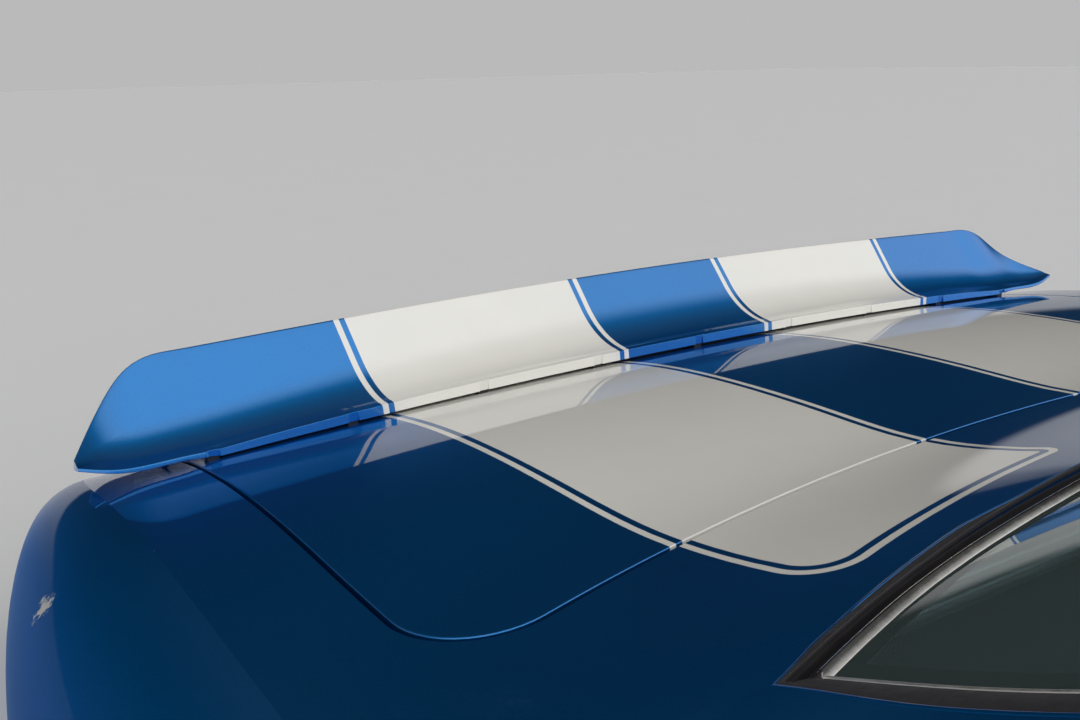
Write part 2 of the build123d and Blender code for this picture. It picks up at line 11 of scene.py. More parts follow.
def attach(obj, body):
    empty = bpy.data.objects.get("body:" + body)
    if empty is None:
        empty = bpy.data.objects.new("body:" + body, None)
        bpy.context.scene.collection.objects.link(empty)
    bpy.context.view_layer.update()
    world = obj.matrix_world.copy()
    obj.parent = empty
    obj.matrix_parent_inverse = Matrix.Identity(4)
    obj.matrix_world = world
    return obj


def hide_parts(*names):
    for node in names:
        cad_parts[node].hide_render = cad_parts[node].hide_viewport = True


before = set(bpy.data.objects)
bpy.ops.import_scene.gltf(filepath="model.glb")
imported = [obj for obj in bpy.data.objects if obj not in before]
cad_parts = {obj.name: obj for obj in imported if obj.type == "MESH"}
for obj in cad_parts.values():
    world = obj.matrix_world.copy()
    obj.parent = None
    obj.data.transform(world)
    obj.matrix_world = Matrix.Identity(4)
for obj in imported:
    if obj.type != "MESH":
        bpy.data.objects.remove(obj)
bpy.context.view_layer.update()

bl_info = {
    "name": "Rear Deck Section",
    "version": (1, 0, 0),
    "blender": (4, 5, 0),
    "location": "View3D > Sidebar > Deck Section",
    "description": "Paint, glass, trim and fittings of a car's rear deck section",
    "category": "Object",
}

# The panels are set out in millimetres from the middle of the spoiler's lip. The model's origin is the
# middle of the section's foot, this far ahead of that point and below it, in metres.
FORWARD = 0.5075
RAISED = 0.26

# The lower body in evenly spaced slices: y, centre height, deck edge x and z, widest x, foot x
BODY = [
    (-240, -77.5, 731, -93, 766, 751),
    (-125, -31.3, 751, -53.3, 810.4, 796.4),
    (-10, -1.9, 764, -25, 842.5, 829.4),
    (105, 14.3, 764, -8, 868.4, 856.3),
    (220, 20.9, 764, 0.8, 884.8, 873.5),
    (335, 21.7, 764, 2, 896.2, 885.7),
    (450, 23.4, 764, 1.9, 906.5, 897),
    (565, 47.1, 764, 3.3, 916.9, 908.6),
    (680, 80.2, 764, 10.6, 926, 919),
    (795, 93, 764, 17.4, 933, 926.5),
    (910, 96.9, 764, 21.4, 937.6, 931.6),
    (1025, 98, 764, 23.8, 940, 934.5),
    (1140, 98, 764, 25.3, 940, 934.5),
    (1255, 98, 764, 26, 938.5, 933),
]
FOOT_Z = -280
SHOULDER_DEPTH = 1.06
SIDE_BULGE = 4

# The roof, rear window and pillars in even slices: y, centre height, rail x, twice the crown radius, foot z
ROOF = [
    (565, 30, 571, 5700, -11.5),
    (680, 95.5, 594, 5620, -1.5),
    (795, 161, 614, 4950, 7),
    (910, 227, 620, 4480, 11.8),
    (1025, 294.5, 614, 4460, 13.3),
    (1140, 343.5, 603, 4780, 14.6),
    (1255, 359, 594, 5400, 16),
]
ROOF_FOOT_X = 778
RAIL_OUT = 30
RAIL_DOWN = 26
RAIL_BEND = (0.62, 0.36)
PILLAR_HOLLOW = 0.12

# The spoiler in slices: x, lip y, lip z, lip height, then y and z of the blade's root, its bend, where
# the bend ends, its top, its back foot and the middle of its underside
SPOILER = [
    (0, 0, 4, 11.2, -9.8, 16.5, -50.7, 28.7, -84.8, 55, -115.5, 89.7, -160, -34, -75, -9),
    (320, 0, -0.3, 11.2, -11.4, 12.4, -48.9, 23.8, -80, 48, -114, 86.4, -152, -37, -72, -12),
    (606, 0, -11.7, 7.9, -15.2, -1.6, -44.4, 8.2, -68.4, 28.8, -108.5, 79, -134, -39.4, -62, -18.8),
    (640, 0, -13.6, 7, -16, -4.2, -43.5, 5, -66, 25, -107, 77.8, -129, -40, -60, -20),
    (674, 1, -11, 4.6, -14, -5, -41, 3.6, -62, 22.5, -103, 76.8, -124, -40, -53, -19),
    (708, 2.5, -11.5, 4.6, -11, -5.8, -36.5, 1.5, -56, 17, -94.5, 63.5, -114, -38, -46, -19),
    (742, 5, -8.5, 4, -6, -3.8, -27, -0.2, -43, 8.5, -71, 31.5, -92, -31, -38, -16),
    (776, 0, 0, 3, -4, 3.3, -8, 3.9, -12, 4.8, -16, 6, -24, -6, -11, -3),
]
SPOILER_END = 640
STRIP_END = 654
BLADE_TIP = 775.6
LOW_LIP_ROUND = 0.8
HIGH_LIP_ROUND = 1.6
CREST_ROUND = 3.0
PAD_X = (0, 164, 328, 492, 646)

# The lid's outline
LID_HALF = 665.0
LID_FRONT = 447.0
LID_FRONT_BOW = 2e-4
LID_REAR = -168.0
LID_REAR_BOW = 5e-5
LID_CORNER = 66.0
LID_REAR_CORNER = 24.0
LID_SKIN = 9.0
SKIN_FIRST = (-660, -162)
SKIN_GRID = (24, 20)
SKIN_MARGIN = 14

# The break in the quarters' shading along the deck's edge, and the filled seam at the pillars' feet,
# which fades out between these heights over the deck
CREASE_X = 764.0
CREASE_FADE = 90.0
CREASE_LEAN = (0.1, 0.05)
SEAM_FADE = (115.0, 25.0)
SEAM_SHARE = 0.85

# The strip's spacer pads, the dark foam seal behind it, which also stands in for the shadow in that gap,
# where the blade is cut back for it, and the radius of its edges in metres
PAD_Y = -13.0
PAD_SIZE = (11.6, 18.0, 7.0)
SHADE_SEAL_HALF = 646.0
SHADE_SEAL_FRONT = -19.0
SHADE_SEAL_REAR = -23.0
SHADE_SEAL_OVERLAP = (0.5, 0.2)
STRIP_CUT = -8.6
STRIP_EDGE = 0.0013

# The tail lamps and the ribs of their lenses
LAMP_X = 470.0
LAMP_Z = -160.0
LAMP_REAR = -204.0
RIB_STEP = 8
RIB_REACH = 160
RIB_SIZE = (4.2, 1.8, 72.0)
RIB_SUNK = 0.4

# The rear window's outline
GLASS_REAR = 622.0
GLASS_CORNER = (562.0, 706.33)
GLASS_SIDE = (577.0, 880.0)
GLASS_TOP = (560.0, 1096.0)
GLASS_TOP_MIDDLE = 1122.0
GLASS_ROUND = 45.0

# The glass is lowered by this in metres. Its shading turns outward by a lean that grows over a run from
# this distance to the window's side
GLASS_DROP = 0.0035
GLASS_LEAN = 0.16
GLASS_LEAN_FROM = 300.0
GLASS_LEAN_RUN = 270.0

# How far the painted panels lap over the window's edge, the least share of it, and where it fades:
# up the sides, in from the lower corners, and out from the middle
PAINT_LAP = 6.4
LEAST_LAP = 0.35
LAP_SIDE_FADE = (700, 820)
LAP_CORNER_FADE = (562, 502)
LAP_MIDDLE_FADE = (250, 340)

# The lower moulding runs further in toward the middle, ends where the side edge would run at this
# inset, and has a stud on each end
MOULDING_SPREAD = 10.5
SPREAD_FADE = (465, 235)
MOULDING_STOP = 14
STUD_INSET = 18.5
STUD_SIZE = (1.3, 1.3, 4.0)
STUD_DEPTH = 2.2

# The camera as fitted to the photograph: place in metres, yaw, pitch and roll in degrees, and focal
# length in pixels of a frame this wide
CAMERA_PLACE = (0.94195, 0.56227, 0.6285)
CAMERA_TURN = (32.865, 15.168, -1.1976)
CAMERA_FOCAL = 1105.9
PHOTO_WIDTH = 1080
SENSOR = 36

# The stripes' soft edge, where they end on the deck panel and their shift there, the chip on the near
# shoulder, and where the flanks take a painted shade, darker with the distance from the middle, and their
# lacquer dulls, all in metres, with the shares that they come to
STRIPE_BLUR = 0.0003
STRIPE_FRONT = 0.565
STRIPE_SHIFT = 0.005
CHIP_AT = (0.8455, -0.3115, 0.223)
CHIP_EDGE = (-0.013, -0.017)
# Painted shade on the flanks: where it fades in, and the share of dark that it comes to
FLANK_SHADE_FADE = (0.79, 0.9)
FLANK_SHADE_SHARE = 0.5
DULL_FADE = (0.762, 0.84)
DULL_COAT = 0.12
DUST_ON_PAINT = (0.42, 0.41, 0.39, 1)
DUST_ON_TRIM = (0.3, 0.29, 0.27, 1)
DUST_ON_GLASS = (0.5, 0.5, 0.48, 1)
# The inner panels' blue paint, darkened with painted shade so that the gap round the lid reads dark
INNER_BLUE_SHADED = (0.006, 0.045, 0.15)

# The room's light by the direction it comes from: each pair is where one part of it fades in
KEY_FADE = (-0.1, 0.25)
FILL_AIM = (0.85, -0.45, 0.3)
FILL_FADE = (0.78, 0.97)
HORIZON_FADE = (0.068, 0.1)
HORIZON_LIGHT = (0.49, 0.01)
TOP_FADE = (0.45, 0.85)
FLOOR_REACH = 40


def to_model(points):
    """Points set out in millimetres from the spoiler's lip, in metres in the model's frame."""
    return np.asarray(points, float) / 1000 + (0, -FORWARD, RAISED)


def to_lip(points):
    """Points of the model, in millimetres from the spoiler's lip."""
    return (np.asarray(points, float) - (0, -FORWARD, RAISED)) * 1000


# The master surfaces


def along(rows, place):
    """The values between evenly spaced rows, by a natural cubic through all of them."""
    table = np.array(rows, float)
    values = table[:, 1:]
    count = len(values)
    system = 4 * np.eye(count) + np.eye(count, k=1) + np.eye(count, k=-1)
    system[0] = system[-1] = 0
    system[0, 0] = system[-1, -1] = 1
    right = np.zeros_like(values)
    right[1:-1] = 6 * (values[2:] - 2 * values[1:-1] + values[:-2])
    bend = np.linalg.solve(system, right)
    step = table[1, 0] - table[0, 0]
    share = np.clip((np.asarray(place, float) - table[0, 0]) / step, 0, count - 1.000001)
    low = share.astype(int)
    t = (share - low)[:, None]
    near, far = (2 - t) * bend[low], (1 + t) * bend[low + 1]
    return (1 - t) * values[low] + t * values[low + 1] - t * (1 - t) * (near + far) / 6


def circle_through(a, b, c):
    """Centre and radius of the circle through three points, each a pair of arrays."""
    (ax, az), (bx, bz), (cx, cz) = a, b, c
    twice = 2 * (ax * (bz - cz) + bx * (cz - az) + cx * (az - bz))
    aa, bb, cc = ax**2 + az**2, bx**2 + bz**2, cx**2 + cz**2
    x = (aa * (bz - cz) + bb * (cz - az) + cc * (az - bz)) / twice
    z = (aa * (cx - bx) + bb * (ax - cx) + cc * (bx - ax)) / twice
    return x, z, np.hypot(ax - x, az - z)


def body_distance(x, y, z, zone=None):
    """How far points lie outside the lower body's slices, and which arc of the slice they belong to."""
    top, edge_x, edge_z, wide_x, foot_x = along(BODY, y).T
    x = np.abs(x)
    reach = wide_x - edge_x
    wide_z = edge_z - SHOULDER_DEPTH * reach
    if zone is None:
        zone = np.where(x < edge_x, 0, np.where(z > wide_z, 1, 2))
    crown = (edge_x**2 + (top - edge_z) ** 2) / (2 * (top - edge_z))
    deck = np.hypot(x, z - top + crown) - crown
    turn = (reach**2 + (edge_z - wide_z) ** 2) / (2 * reach)
    shoulder = np.hypot(x - wide_x + turn, z - wide_z) - turn
    low = ((wide_x + foot_x) / 2 + SIDE_BULGE, (wide_z + FOOT_Z) / 2)
    centre_x, centre_z, radius = circle_through((wide_x, wide_z), low, (foot_x, FOOT_Z + 0 * foot_x))
    side = np.hypot(x - centre_x, z - centre_z) - radius
    return np.choose(zone, (deck, shoulder, side)), zone


def roof_distance(x, y, z, zone=None):
    """The same for the slices of the roof, rear window and pillars."""
    top, rail_x, crown, foot_z = along(ROOF, y).T
    x = np.abs(x)
    rail_z = top - rail_x**2 / crown
    corner_x, corner_z = rail_x + RAIL_OUT, rail_z - RAIL_DOWN
    if zone is None:
        zone = np.where(x < rail_x, 0, np.where(x < corner_x, 1, 2))
    radius = (rail_x**2 + (top - rail_z) ** 2) / (2 * (top - rail_z))
    roof = np.hypot(x, z - top + radius) - radius
    turn = (rail_x + RAIL_BEND[0] * RAIL_OUT, rail_z - RAIL_BEND[1] * RAIL_DOWN)
    turn_x, turn_z, turn_r = circle_through((rail_x, rail_z), turn, (corner_x, corner_z))
    rail = np.hypot(x - turn_x, z - turn_z) - turn_r
    run, fall = ROOF_FOOT_X - corner_x, corner_z - foot_z
    hollow = np.copysign(PILLAR_HOLLOW, fall)
    waist = ((corner_x + ROOF_FOOT_X) / 2 - hollow * np.abs(fall), (corner_z + foot_z) / 2 - hollow * run)
    foot = (ROOF_FOOT_X + 0 * foot_z, foot_z)
    pillar_x, pillar_z, pillar_r = circle_through((corner_x, corner_z), waist, foot)
    pillar = pillar_r - np.hypot(x - pillar_x, z - pillar_z)
    return np.choose(zone, (roof, rail, pillar)), zone


def fade(value, start, end):
    """0 where a value is at the start or short of it, 1 from the end on, and smooth between."""
    share = np.clip((value - start) / (end - start), 0, 1)
    return share**2 * (3 - 2 * share)


def outward(distance, points):
    """Outward directions of a master surface at points, and how far each point lies outside it."""
    x, y, z = np.asarray(points, float).T
    value, zone = distance(x, y, z)
    step = 0.4
    slope = [
        distance(x + dx, y + dy, z + dz, zone)[0] - distance(x - dx, y - dy, z - dz, zone)[0]
        for dx, dy, dz in ((step, 0, 0), (0, step, 0), (0, 0, step))
    ]
    slope = np.array(slope).T / (2 * step)
    size = np.linalg.norm(slope, axis=1)
    return slope / size[:, None], value / size


def deck_height(x, y):
    """Height of the deck's outer surface."""
    top, edge_x, edge_z = along(BODY, y).T[:3]
    crown = (edge_x**2 + (top - edge_z) ** 2) / (2 * (top - edge_z))
    return top - crown + np.sqrt(crown**2 - np.asarray(x, float) ** 2)


def roof_height(x, y):
    """Height of the outer surface of the roof and the rear window, between the rails."""
    top, rail_x, crown = along(ROOF, y).T[:3]
    drop = rail_x**2 / crown
    radius = (rail_x**2 + drop**2) / (2 * drop)
    return top - radius + np.sqrt(radius**2 - np.asarray(x, float) ** 2)


# Meshes

# Corners in the same step of this grid are one corner
STEPS_PER_METRE = 2e5

# Faces follow a master surface when they lean less than the first angle from it between these heights,
# or less than the second and lie on it
WALL_COSINE = math.cos(math.radians(15))
WALL_HEIGHTS = (-45, 4)
SKIN_COSINE = math.cos(math.radians(42))
SKIN_HEIGHT = 0.15


def read(items, key, width=3, kind=float):
    """One property of all the items of a mesh, a row for each."""
    values = np.empty(len(items) * width, kind)
    items.foreach_get(key, values)
    return values.reshape(-1, width) if width > 1 else values


def merged(name, node):
    """A mesh of its own in the shape of a CAD node, its loose triangles joined at the corners."""
    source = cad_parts[node].data
    source.calc_loop_triangles()
    place = read(source.vertices, "co")
    corners = read(source.loop_triangles, "vertices", kind=np.int32)
    steps = np.round(place * STEPS_PER_METRE).astype(np.int64)
    _, first, where = np.unique(steps, axis=0, return_index=True, return_inverse=True)
    triangles = where.reshape(-1)[corners]
    a, b, c = triangles.T
    triangles = triangles[(a != b) & (b != c) & (c != a)]
    mesh = bpy.data.meshes.new(name)
    mesh.from_pydata(place[first].tolist(), [], triangles.tolist())
    mesh.validate()
    return mesh


def mesh_of(name, points, faces):
    """A mesh from points given in millimetres from the lip."""
    mesh = bpy.data.meshes.new(name)
    mesh.from_pydata(to_model(points).tolist(), [], faces)
    return mesh


def ring_faces(rings, count):
    """The faces between rings of points, each closed round."""
    faces = []
    for low in range(0, (rings - 1) * count, count):
        high = low + count
        for i in range(count):
            j = (i + 1) % count
            faces.append((low + i, low + j, high + j, high + i))
    return faces


def face_outwards(mesh):
    work = bmesh.new()
    work.from_mesh(mesh)
    bmesh.ops.recalc_face_normals(work, faces=work.faces)
    work.to_mesh(mesh)
    work.free()


def shade_by_angle(mesh, degrees=32):
    """Rounds the shading over edges that turn less than this."""
    mesh.shade_smooth()
    mesh.set_sharp_from_angle(angle=math.radians(degrees))


def shade_as_surface(mesh, surfaces):
    """Shades the faces that run along a master surface with its own directions, and the rest by angle."""
    shade_by_angle(mesh)
    shading, place, face = corner_shading(mesh)
    flat = read(mesh.polygons, "normal")[face]
    nearest = np.full(len(face), np.inf)
    for distance in surfaces:
        direction, height = outward(distance, place)
        facing = np.sum(direction * flat, axis=1)
        fits = (np.abs(facing) > WALL_COSINE) & (height > WALL_HEIGHTS[0]) & (height < WALL_HEIGHTS[1])
        fits |= (facing > SKIN_COSINE) & (np.abs(height) < SKIN_HEIGHT)
        fits &= np.abs(height) < nearest
        shading[fits] = direction[fits] * np.sign(facing[fits])[:, None]
        nearest[fits] = np.abs(height[fits])
    mesh.normals_split_custom_set(shading.tolist())


def new_object(name, mesh, material):
    piece = bpy.data.objects.new(name, mesh)
    mesh.materials.append(material)
    bpy.context.scene.collection.objects.link(piece)
    return piece


def fit(piece, body, slot, *nodes):
    """Puts a finished piece on its body and in place of its CAD nodes. The slot is not used."""
    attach(piece, body)
    if nodes:
        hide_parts(*nodes)
    return piece


def dress(name, mesh, material, body, slot, *nodes):
    """A mesh made a piece of its own and put in place."""
    return fit(new_object(name, mesh, material), body, slot, *nodes)


def plain_pieces(body, slot, material, *nodes):
    """CAD nodes' shapes with their shading rounded, each under its own name."""
    for node in nodes:
        mesh = merged(node + "_form", node)
        shade_by_angle(mesh)
        dress(node + "_form", mesh, material, body, slot, node)


def corner_shading(mesh):
    """Each face corner's direction and place, and which face it belongs to."""
    sides = read(mesh.polygons, "loop_total", 1, np.int32)
    place = to_lip(read(mesh.vertices, "co"))[read(mesh.loops, "vertex_index", 1, np.int32)]
    return read(mesh.corner_normals, "vector"), place, np.repeat(np.arange(len(sides)), sides)


def set_shading(mesh, shading):
    shading = shading / np.linalg.norm(shading, axis=1)[:, None]
    mesh.normals_split_custom_set(shading.tolist())


def crease_shoulder(mesh):
    """Breaks the shading along the deck's edge, where the pressed shoulder turns away from the deck."""
    shading, place, face = corner_shading(mesh)
    count = np.bincount(face)
    middle = np.bincount(face, np.abs(place[:, 0])) / count
    depth = np.bincount(face, place[:, 1]) / count
    past = (middle - along(BODY, depth)[:, 1])[face]
    share = np.where(past > 0, np.clip(1 - (np.abs(place[:, 0]) - CREASE_X) / CREASE_FADE, 0, 1), 0)
    above = share * (shading[:, 2] > 0)
    shading[:, 0] += CREASE_LEAN[0] * above * np.sign(place[:, 0])
    shading[:, 1] += CREASE_LEAN[1] * above
    set_shading(mesh, shading)


def soften_foot(mesh):
    """Turns a pillar's shading into the deck's toward its foot, like a filled seam."""
    shading, place, _ = corner_shading(mesh)
    above = place[:, 2] - deck_height(np.clip(place[:, 0], -760, 760), place[:, 1])
    share = SEAM_SHARE * fade(above, *SEAM_FADE) * (shading[:, 2] > 0.2)
    beside = np.column_stack([np.clip(place[:, 0], -700, 700), place[:, 1], place[:, 2] - above])
    up = outward(body_distance, beside)[0]
    set_shading(mesh, shading * (1 - share)[:, None] + up * share[:, None])


def panel_pieces(material, surfaces, finish, *nodes):
    """Painted CAD panels, shaded as their master surfaces and then finished by a function."""
    for node in nodes:
        mesh = merged(node + "_panel", node)
        shade_as_surface(mesh, surfaces)
        if finish:
            finish(mesh)
        dress(node + "_panel", mesh, material, "shell", "body_paint", node)


# What repeats


def repeat_tree(name, shape):
    """A node tree that sets a small solid on every point of a mesh: a block or a round boss."""
    tree = bpy.data.node_groups.new(name, "GeometryNodeTree")
    for label, kind in (("Geometry", "Geometry"), ("Size", "Vector"), ("Material", "Material")):
        tree.interface.new_socket(label, in_out="INPUT", socket_type="NodeSocket" + kind)
    tree.interface.new_socket("Geometry", in_out="OUTPUT", socket_type="NodeSocketGeometry")
    given = tree.nodes.new("NodeGroupInput").outputs
    if shape == "block":
        solid = add_node(tree, "GeometryNodeMeshCube", {"Size": given["Size"]})
    else:
        sizes = parts_of(tree, given["Size"])
        inputs = {"Vertices": 14, "Radius": sizes[0], "Depth": sizes[2]}
        solid = add_node(tree, "GeometryNodeMeshCylinder", inputs)
    points = add_node(tree, "GeometryNodeMeshToPoints", {"Mesh": given["Geometry"]})
    inputs = {"Points": points.outputs[0], "Instance": solid.outputs["Mesh"]}
    placed = add_node(tree, "GeometryNodeInstanceOnPoints", inputs)
    whole = add_node(tree, "GeometryNodeRealizeInstances", {"Geometry": placed.outputs[0]})
    inputs = {"Geometry": whole.outputs[0], "Material": given["Material"]}
    put_out(tree, Geometry=add_node(tree, "GeometryNodeSetMaterial", inputs).outputs[0])
    return tree


def repeated(name, tree, points, size, material):
    """The solids that a tree sets on points given in millimetres, as one finished object."""
    source = bpy.data.meshes.new(name + "_points")
    source.from_pydata(to_model(points).tolist(), [], [])
    holder = bpy.data.objects.new(name + "_points", source)
    bpy.context.scene.collection.objects.link(holder)
    modifier = holder.modifiers.new("repeat", "NODES")
    modifier.node_group = tree
    values = {"Size": [edge / 1000 for edge in size], "Material": material}
    for socket in tree.interface.items_tree:
        if socket.in_out == "INPUT" and socket.name in values:
            modifier[socket.identifier] = values[socket.name]
    graph = bpy.context.evaluated_depsgraph_get()
    mesh = bpy.data.meshes.new_from_object(holder.evaluated_get(graph))
    holder.modifiers.remove(modifier)
    bpy.data.objects.remove(holder)
    if not len(mesh.polygons):
        raise RuntimeError(name + " came out empty")
    shade_by_angle(mesh)
    piece = bpy.data.objects.new(name, mesh)
    bpy.context.scene.collection.objects.link(piece)
    return piece


# Outlines


def arc_points(centre, radius, start, end, count):
    turn = np.linspace(start, end, count)
    return [(centre[0] + radius * math.cos(a), centre[1] + radius * math.sin(a)) for a in turn]


def bow_radius(half, sag):
    return (half**2 + sag**2) / (2 * sag)


def lid_outline(grow):
    """The lid's outline grown by a distance, round from the middle of its rear edge."""
    across, corner, side = 60, 14, 46
    half = LID_HALF + grow
    front, rear = LID_FRONT + grow, LID_REAR - grow
    front_r = bow_radius(half, LID_FRONT_BOW * half**2)
    rear_r = bow_radius(half, LID_REAR_BOW * half**2)
    turn, rear_turn = LID_CORNER + grow, LID_REAR_CORNER + grow
    x, rear_x = half - turn, half - rear_turn
    y = front + front_r - math.sqrt((front_r + turn) ** 2 - x**2)
    rear_y = rear + rear_r - math.sqrt((rear_r - rear_turn) ** 2 - rear_x**2)
    front_end = math.atan2(front + front_r - y, -x)
    rear_end = math.atan2(rear_y - rear - rear_r, rear_x)
    right = arc_points((0, rear + rear_r), rear_r, -math.pi / 2, rear_end, across)[:-1]
    right += arc_points((rear_x, rear_y), rear_turn, rear_end, 0, corner)
    right += [(half, side_y) for side_y in np.linspace(rear_y, y, side)[1:-1]]
    right += arc_points((x, y), turn, 0, front_end, corner)
    low_turn = math.atan2(y - front - front_r, x)
    right += arc_points((0, front + front_r), front_r, low_turn, -math.pi / 2, across)[1:]
    left = [(-px, py) for px, py in right[-2:0:-1]]
    return np.array(right + left)


def crossing(first, second):
    """Where two circles cross, left of the way from the first one's centre to the second one's."""
    (ax, ay, first_r), (bx, by, second_r) = first, second
    gap = math.hypot(bx - ax, by - ay)
    run = (gap**2 + first_r**2 - second_r**2) / (2 * gap)
    off = math.sqrt(first_r**2 - run**2)
    way_x, way_y = (bx - ax) / gap, (by - ay) / gap
    return ax + run * way_x - off * way_y, ay + run * way_y + off * way_x


def spread(x):
    """How much further in the lower moulding runs toward the middle of the window."""
    return MOULDING_SPREAD * fade(np.abs(x), *SPREAD_FADE)


def window_run(part, inset, stop=None):
    """One edge of the rear window's outline, drawn in by a distance. With a stop the rear edge is the
    lower moulding's, and ends where the side edge would run at that distance."""
    mirrored = (-GLASS_CORNER[0], GLASS_CORNER[1]), (-GLASS_TOP[0], GLASS_TOP[1])
    circles = (
        circle_through(GLASS_CORNER, (0, GLASS_REAR), mirrored[0]),
        circle_through(GLASS_CORNER, GLASS_SIDE, GLASS_TOP),
        circle_through(GLASS_TOP, (0, GLASS_TOP_MIDDLE), mirrored[1]),
    )
    rear, side, top = ((x, y, r - inset) for x, y, r in circles)
    bend = crossing(*((x, y, r - GLASS_ROUND) for x, y, r in circles[1:]))

    def turn(circle, point):
        return math.atan2(point[1] - circle[1], point[0] - circle[0])

    if part == "rear":
        end_side = side if stop is None else (side[0], side[1], circles[1][2] - stop)
        end = turn(rear, crossing(rear, end_side))
        points = np.array(arc_points(rear[:2], rear[2], -math.pi - end, end, 161))
        if stop:
            points += spread(points[:, :1]) * (np.array(rear[:2]) - points) / rear[2]
        return points
    side_end, top_start = turn(side, bend), turn(top, bend)
    if part == "side":
        return arc_points(side[:2], side[2], turn(side, crossing(rear, side)), side_end, 50)
    round_right = arc_points(bend, GLASS_ROUND - inset, side_end, top_start, 10)
    round_left = [(-x, y) for x, y in reversed(round_right)]
    across = arc_points(top[:2], top[2], top_start, math.pi - top_start, 90)
    return round_right + across[1:-1] + round_left


def inside(points, outline):
    """Which points lie inside a closed outline."""
    x, y = np.asarray(points).T
    held = np.zeros(len(x), bool)
    for (ax, ay), (bx, by) in zip(outline, np.roll(outline, -1, axis=0)):
        crosses = (ay > y) != (by > y)
        held ^= crosses & (x < ax + (y - ay) * (bx - ax) / (by - ay + 1e-12))
    return held


# Materials


def set_socket(tree, socket, value):
    """Links a socket to another node's output, or sets its value."""
    if isinstance(value, bpy.types.NodeSocket):
        tree.links.new(value, socket)
    else:
        socket.default_value = value


def add_node(tree, kind, inputs=None, **settings):
    """A node with its settings and its sockets set or linked."""
    made = tree.nodes.new(kind)
    for key, value in settings.items():
        setattr(made, key, value)
    for key, value in (inputs or {}).items():
        set_socket(tree, made.inputs[key], value)
    return made


def parts_of(tree, vector):
    """The x, y and z outputs of a vector."""
    return add_node(tree, "ShaderNodeSeparateXYZ", {0: vector}).outputs


def noise(tree, position, scale, detail, roughness=0.5):
    """A cloudy value from 0 to 1."""
    inputs = {"Vector": position, "Scale": scale, "Detail": detail, "Roughness": roughness}
    return add_node(tree, "ShaderNodeTexNoise", inputs).outputs["Fac"]


def cells(tree, position, scale):
    """Scattered cells: their distance output and, in the colour output, a random value for each."""
    return add_node(tree, "ShaderNodeTexVoronoi", {"Vector": position, "Scale": scale}).outputs


def calc(tree, operation, *values, clamp=False):
    made = add_node(tree, "ShaderNodeMath", dict(enumerate(values)), operation=operation, use_clamp=clamp)
    return made.outputs[0]


def ramp(tree, value, low, high, to_low=0.0, to_high=1.0):
    """A value carried smoothly from one range to another."""
    inputs = {"Value": value, "From Min": low, "From Max": high, "To Min": to_low, "To Max": to_high}
    made = add_node(tree, "ShaderNodeMapRange", inputs, interpolation_type="SMOOTHSTEP")
    return made.outputs["Result"]


def blend_colour(tree, share, under, over):
    return add_node(tree, "ShaderNodeMix", {0: share, 6: under, 7: over}, data_type="RGBA").outputs[2]


def new_group(name, values, *outputs):
    """A shader node group with a position and named values, and its input node's outputs by name."""
    tree = bpy.data.node_groups.new(name, "ShaderNodeTree")
    tree.interface.new_socket("Position", in_out="INPUT", socket_type="NodeSocketVector")
    for label, value in values.items():
        socket = tree.interface.new_socket(label, in_out="INPUT", socket_type="NodeSocketFloat")
        socket.default_value = value
    for label in outputs:
        tree.interface.new_socket(label, in_out="OUTPUT", socket_type="NodeSocketFloat")
    return tree, tree.nodes.new("NodeGroupInput").outputs


def put_out(tree, **values):
    ends = tree.nodes.new("NodeGroupOutput")
    for label, value in values.items():
        tree.links.new(value, ends.inputs[label])


def stripe_group():
    """Mask of the two broad bands, each with a pin line round it, and their rounded ends."""
    sizes = {"Centre": 0.286, "Half Width": 0.155, "Gap": 0.007, "Pin Line": 0.007}
    ends = {"Front End": 9.0, "Front Bow": 0.285, "Outer Corner": 0.036, "Inner Corner": 0.004}
    shifts = {"Sideways": 0.0, "Lean": 0.0, "Lean Foot": 0.2325}
    tree, given = new_group("stripe_layout", {**sizes, **ends, **shifts}, "Mask")
    side, ahead, height = parts_of(tree, given["Position"])
    x = calc(tree, "ADD", side, given["Sideways"])
    off = calc(tree, "SUBTRACT", calc(tree, "ABSOLUTE", x), given["Centre"])
    outer = calc(tree, "GREATER_THAN", off, 0.0)
    above = calc(tree, "SUBTRACT", height, given["Lean Foot"])
    lean = calc(tree, "MULTIPLY", above, given["Lean"])
    off = calc(tree, "SUBTRACT", off, calc(tree, "MULTIPLY", outer, lean))
    change = calc(tree, "SUBTRACT", given["Outer Corner"], given["Inner Corner"])
    corner = calc(tree, "MULTIPLY_ADD", outer, change, given["Inner Corner"])
    bow = calc(tree, "MULTIPLY", calc(tree, "MULTIPLY", x, x), given["Front Bow"])
    past = calc(tree, "SUBTRACT", ahead, calc(tree, "ADD", bow, given["Front End"]))
    across = calc(tree, "SUBTRACT", calc(tree, "ABSOLUTE", off), given["Half Width"])
    qx, qy = calc(tree, "ADD", across, corner), calc(tree, "ADD", past, corner)
    cut_x, cut_y = calc(tree, "MAXIMUM", qx, 0.0), calc(tree, "MAXIMUM", qy, 0.0)
    squares = calc(tree, "MULTIPLY_ADD", cut_y, cut_y, calc(tree, "MULTIPLY", cut_x, cut_x))
    within = calc(tree, "MINIMUM", calc(tree, "MAXIMUM", qx, qy), 0.0)
    distance = calc(tree, "SUBTRACT", calc(tree, "ADD", calc(tree, "SQRT", squares), within), corner)
    band = ramp(tree, distance, STRIPE_BLUR, -STRIPE_BLUR)
    half_line = calc(tree, "MULTIPLY", given["Pin Line"], 0.5)
    line_at = calc(tree, "ADD", given["Gap"], half_line)
    from_line = calc(tree, "ABSOLUTE", calc(tree, "SUBTRACT", distance, line_at))
    line = ramp(tree, calc(tree, "SUBTRACT", from_line, half_line), STRIPE_BLUR, -STRIPE_BLUR)
    put_out(tree, Mask=calc(tree, "MAXIMUM", band, line))
    return tree


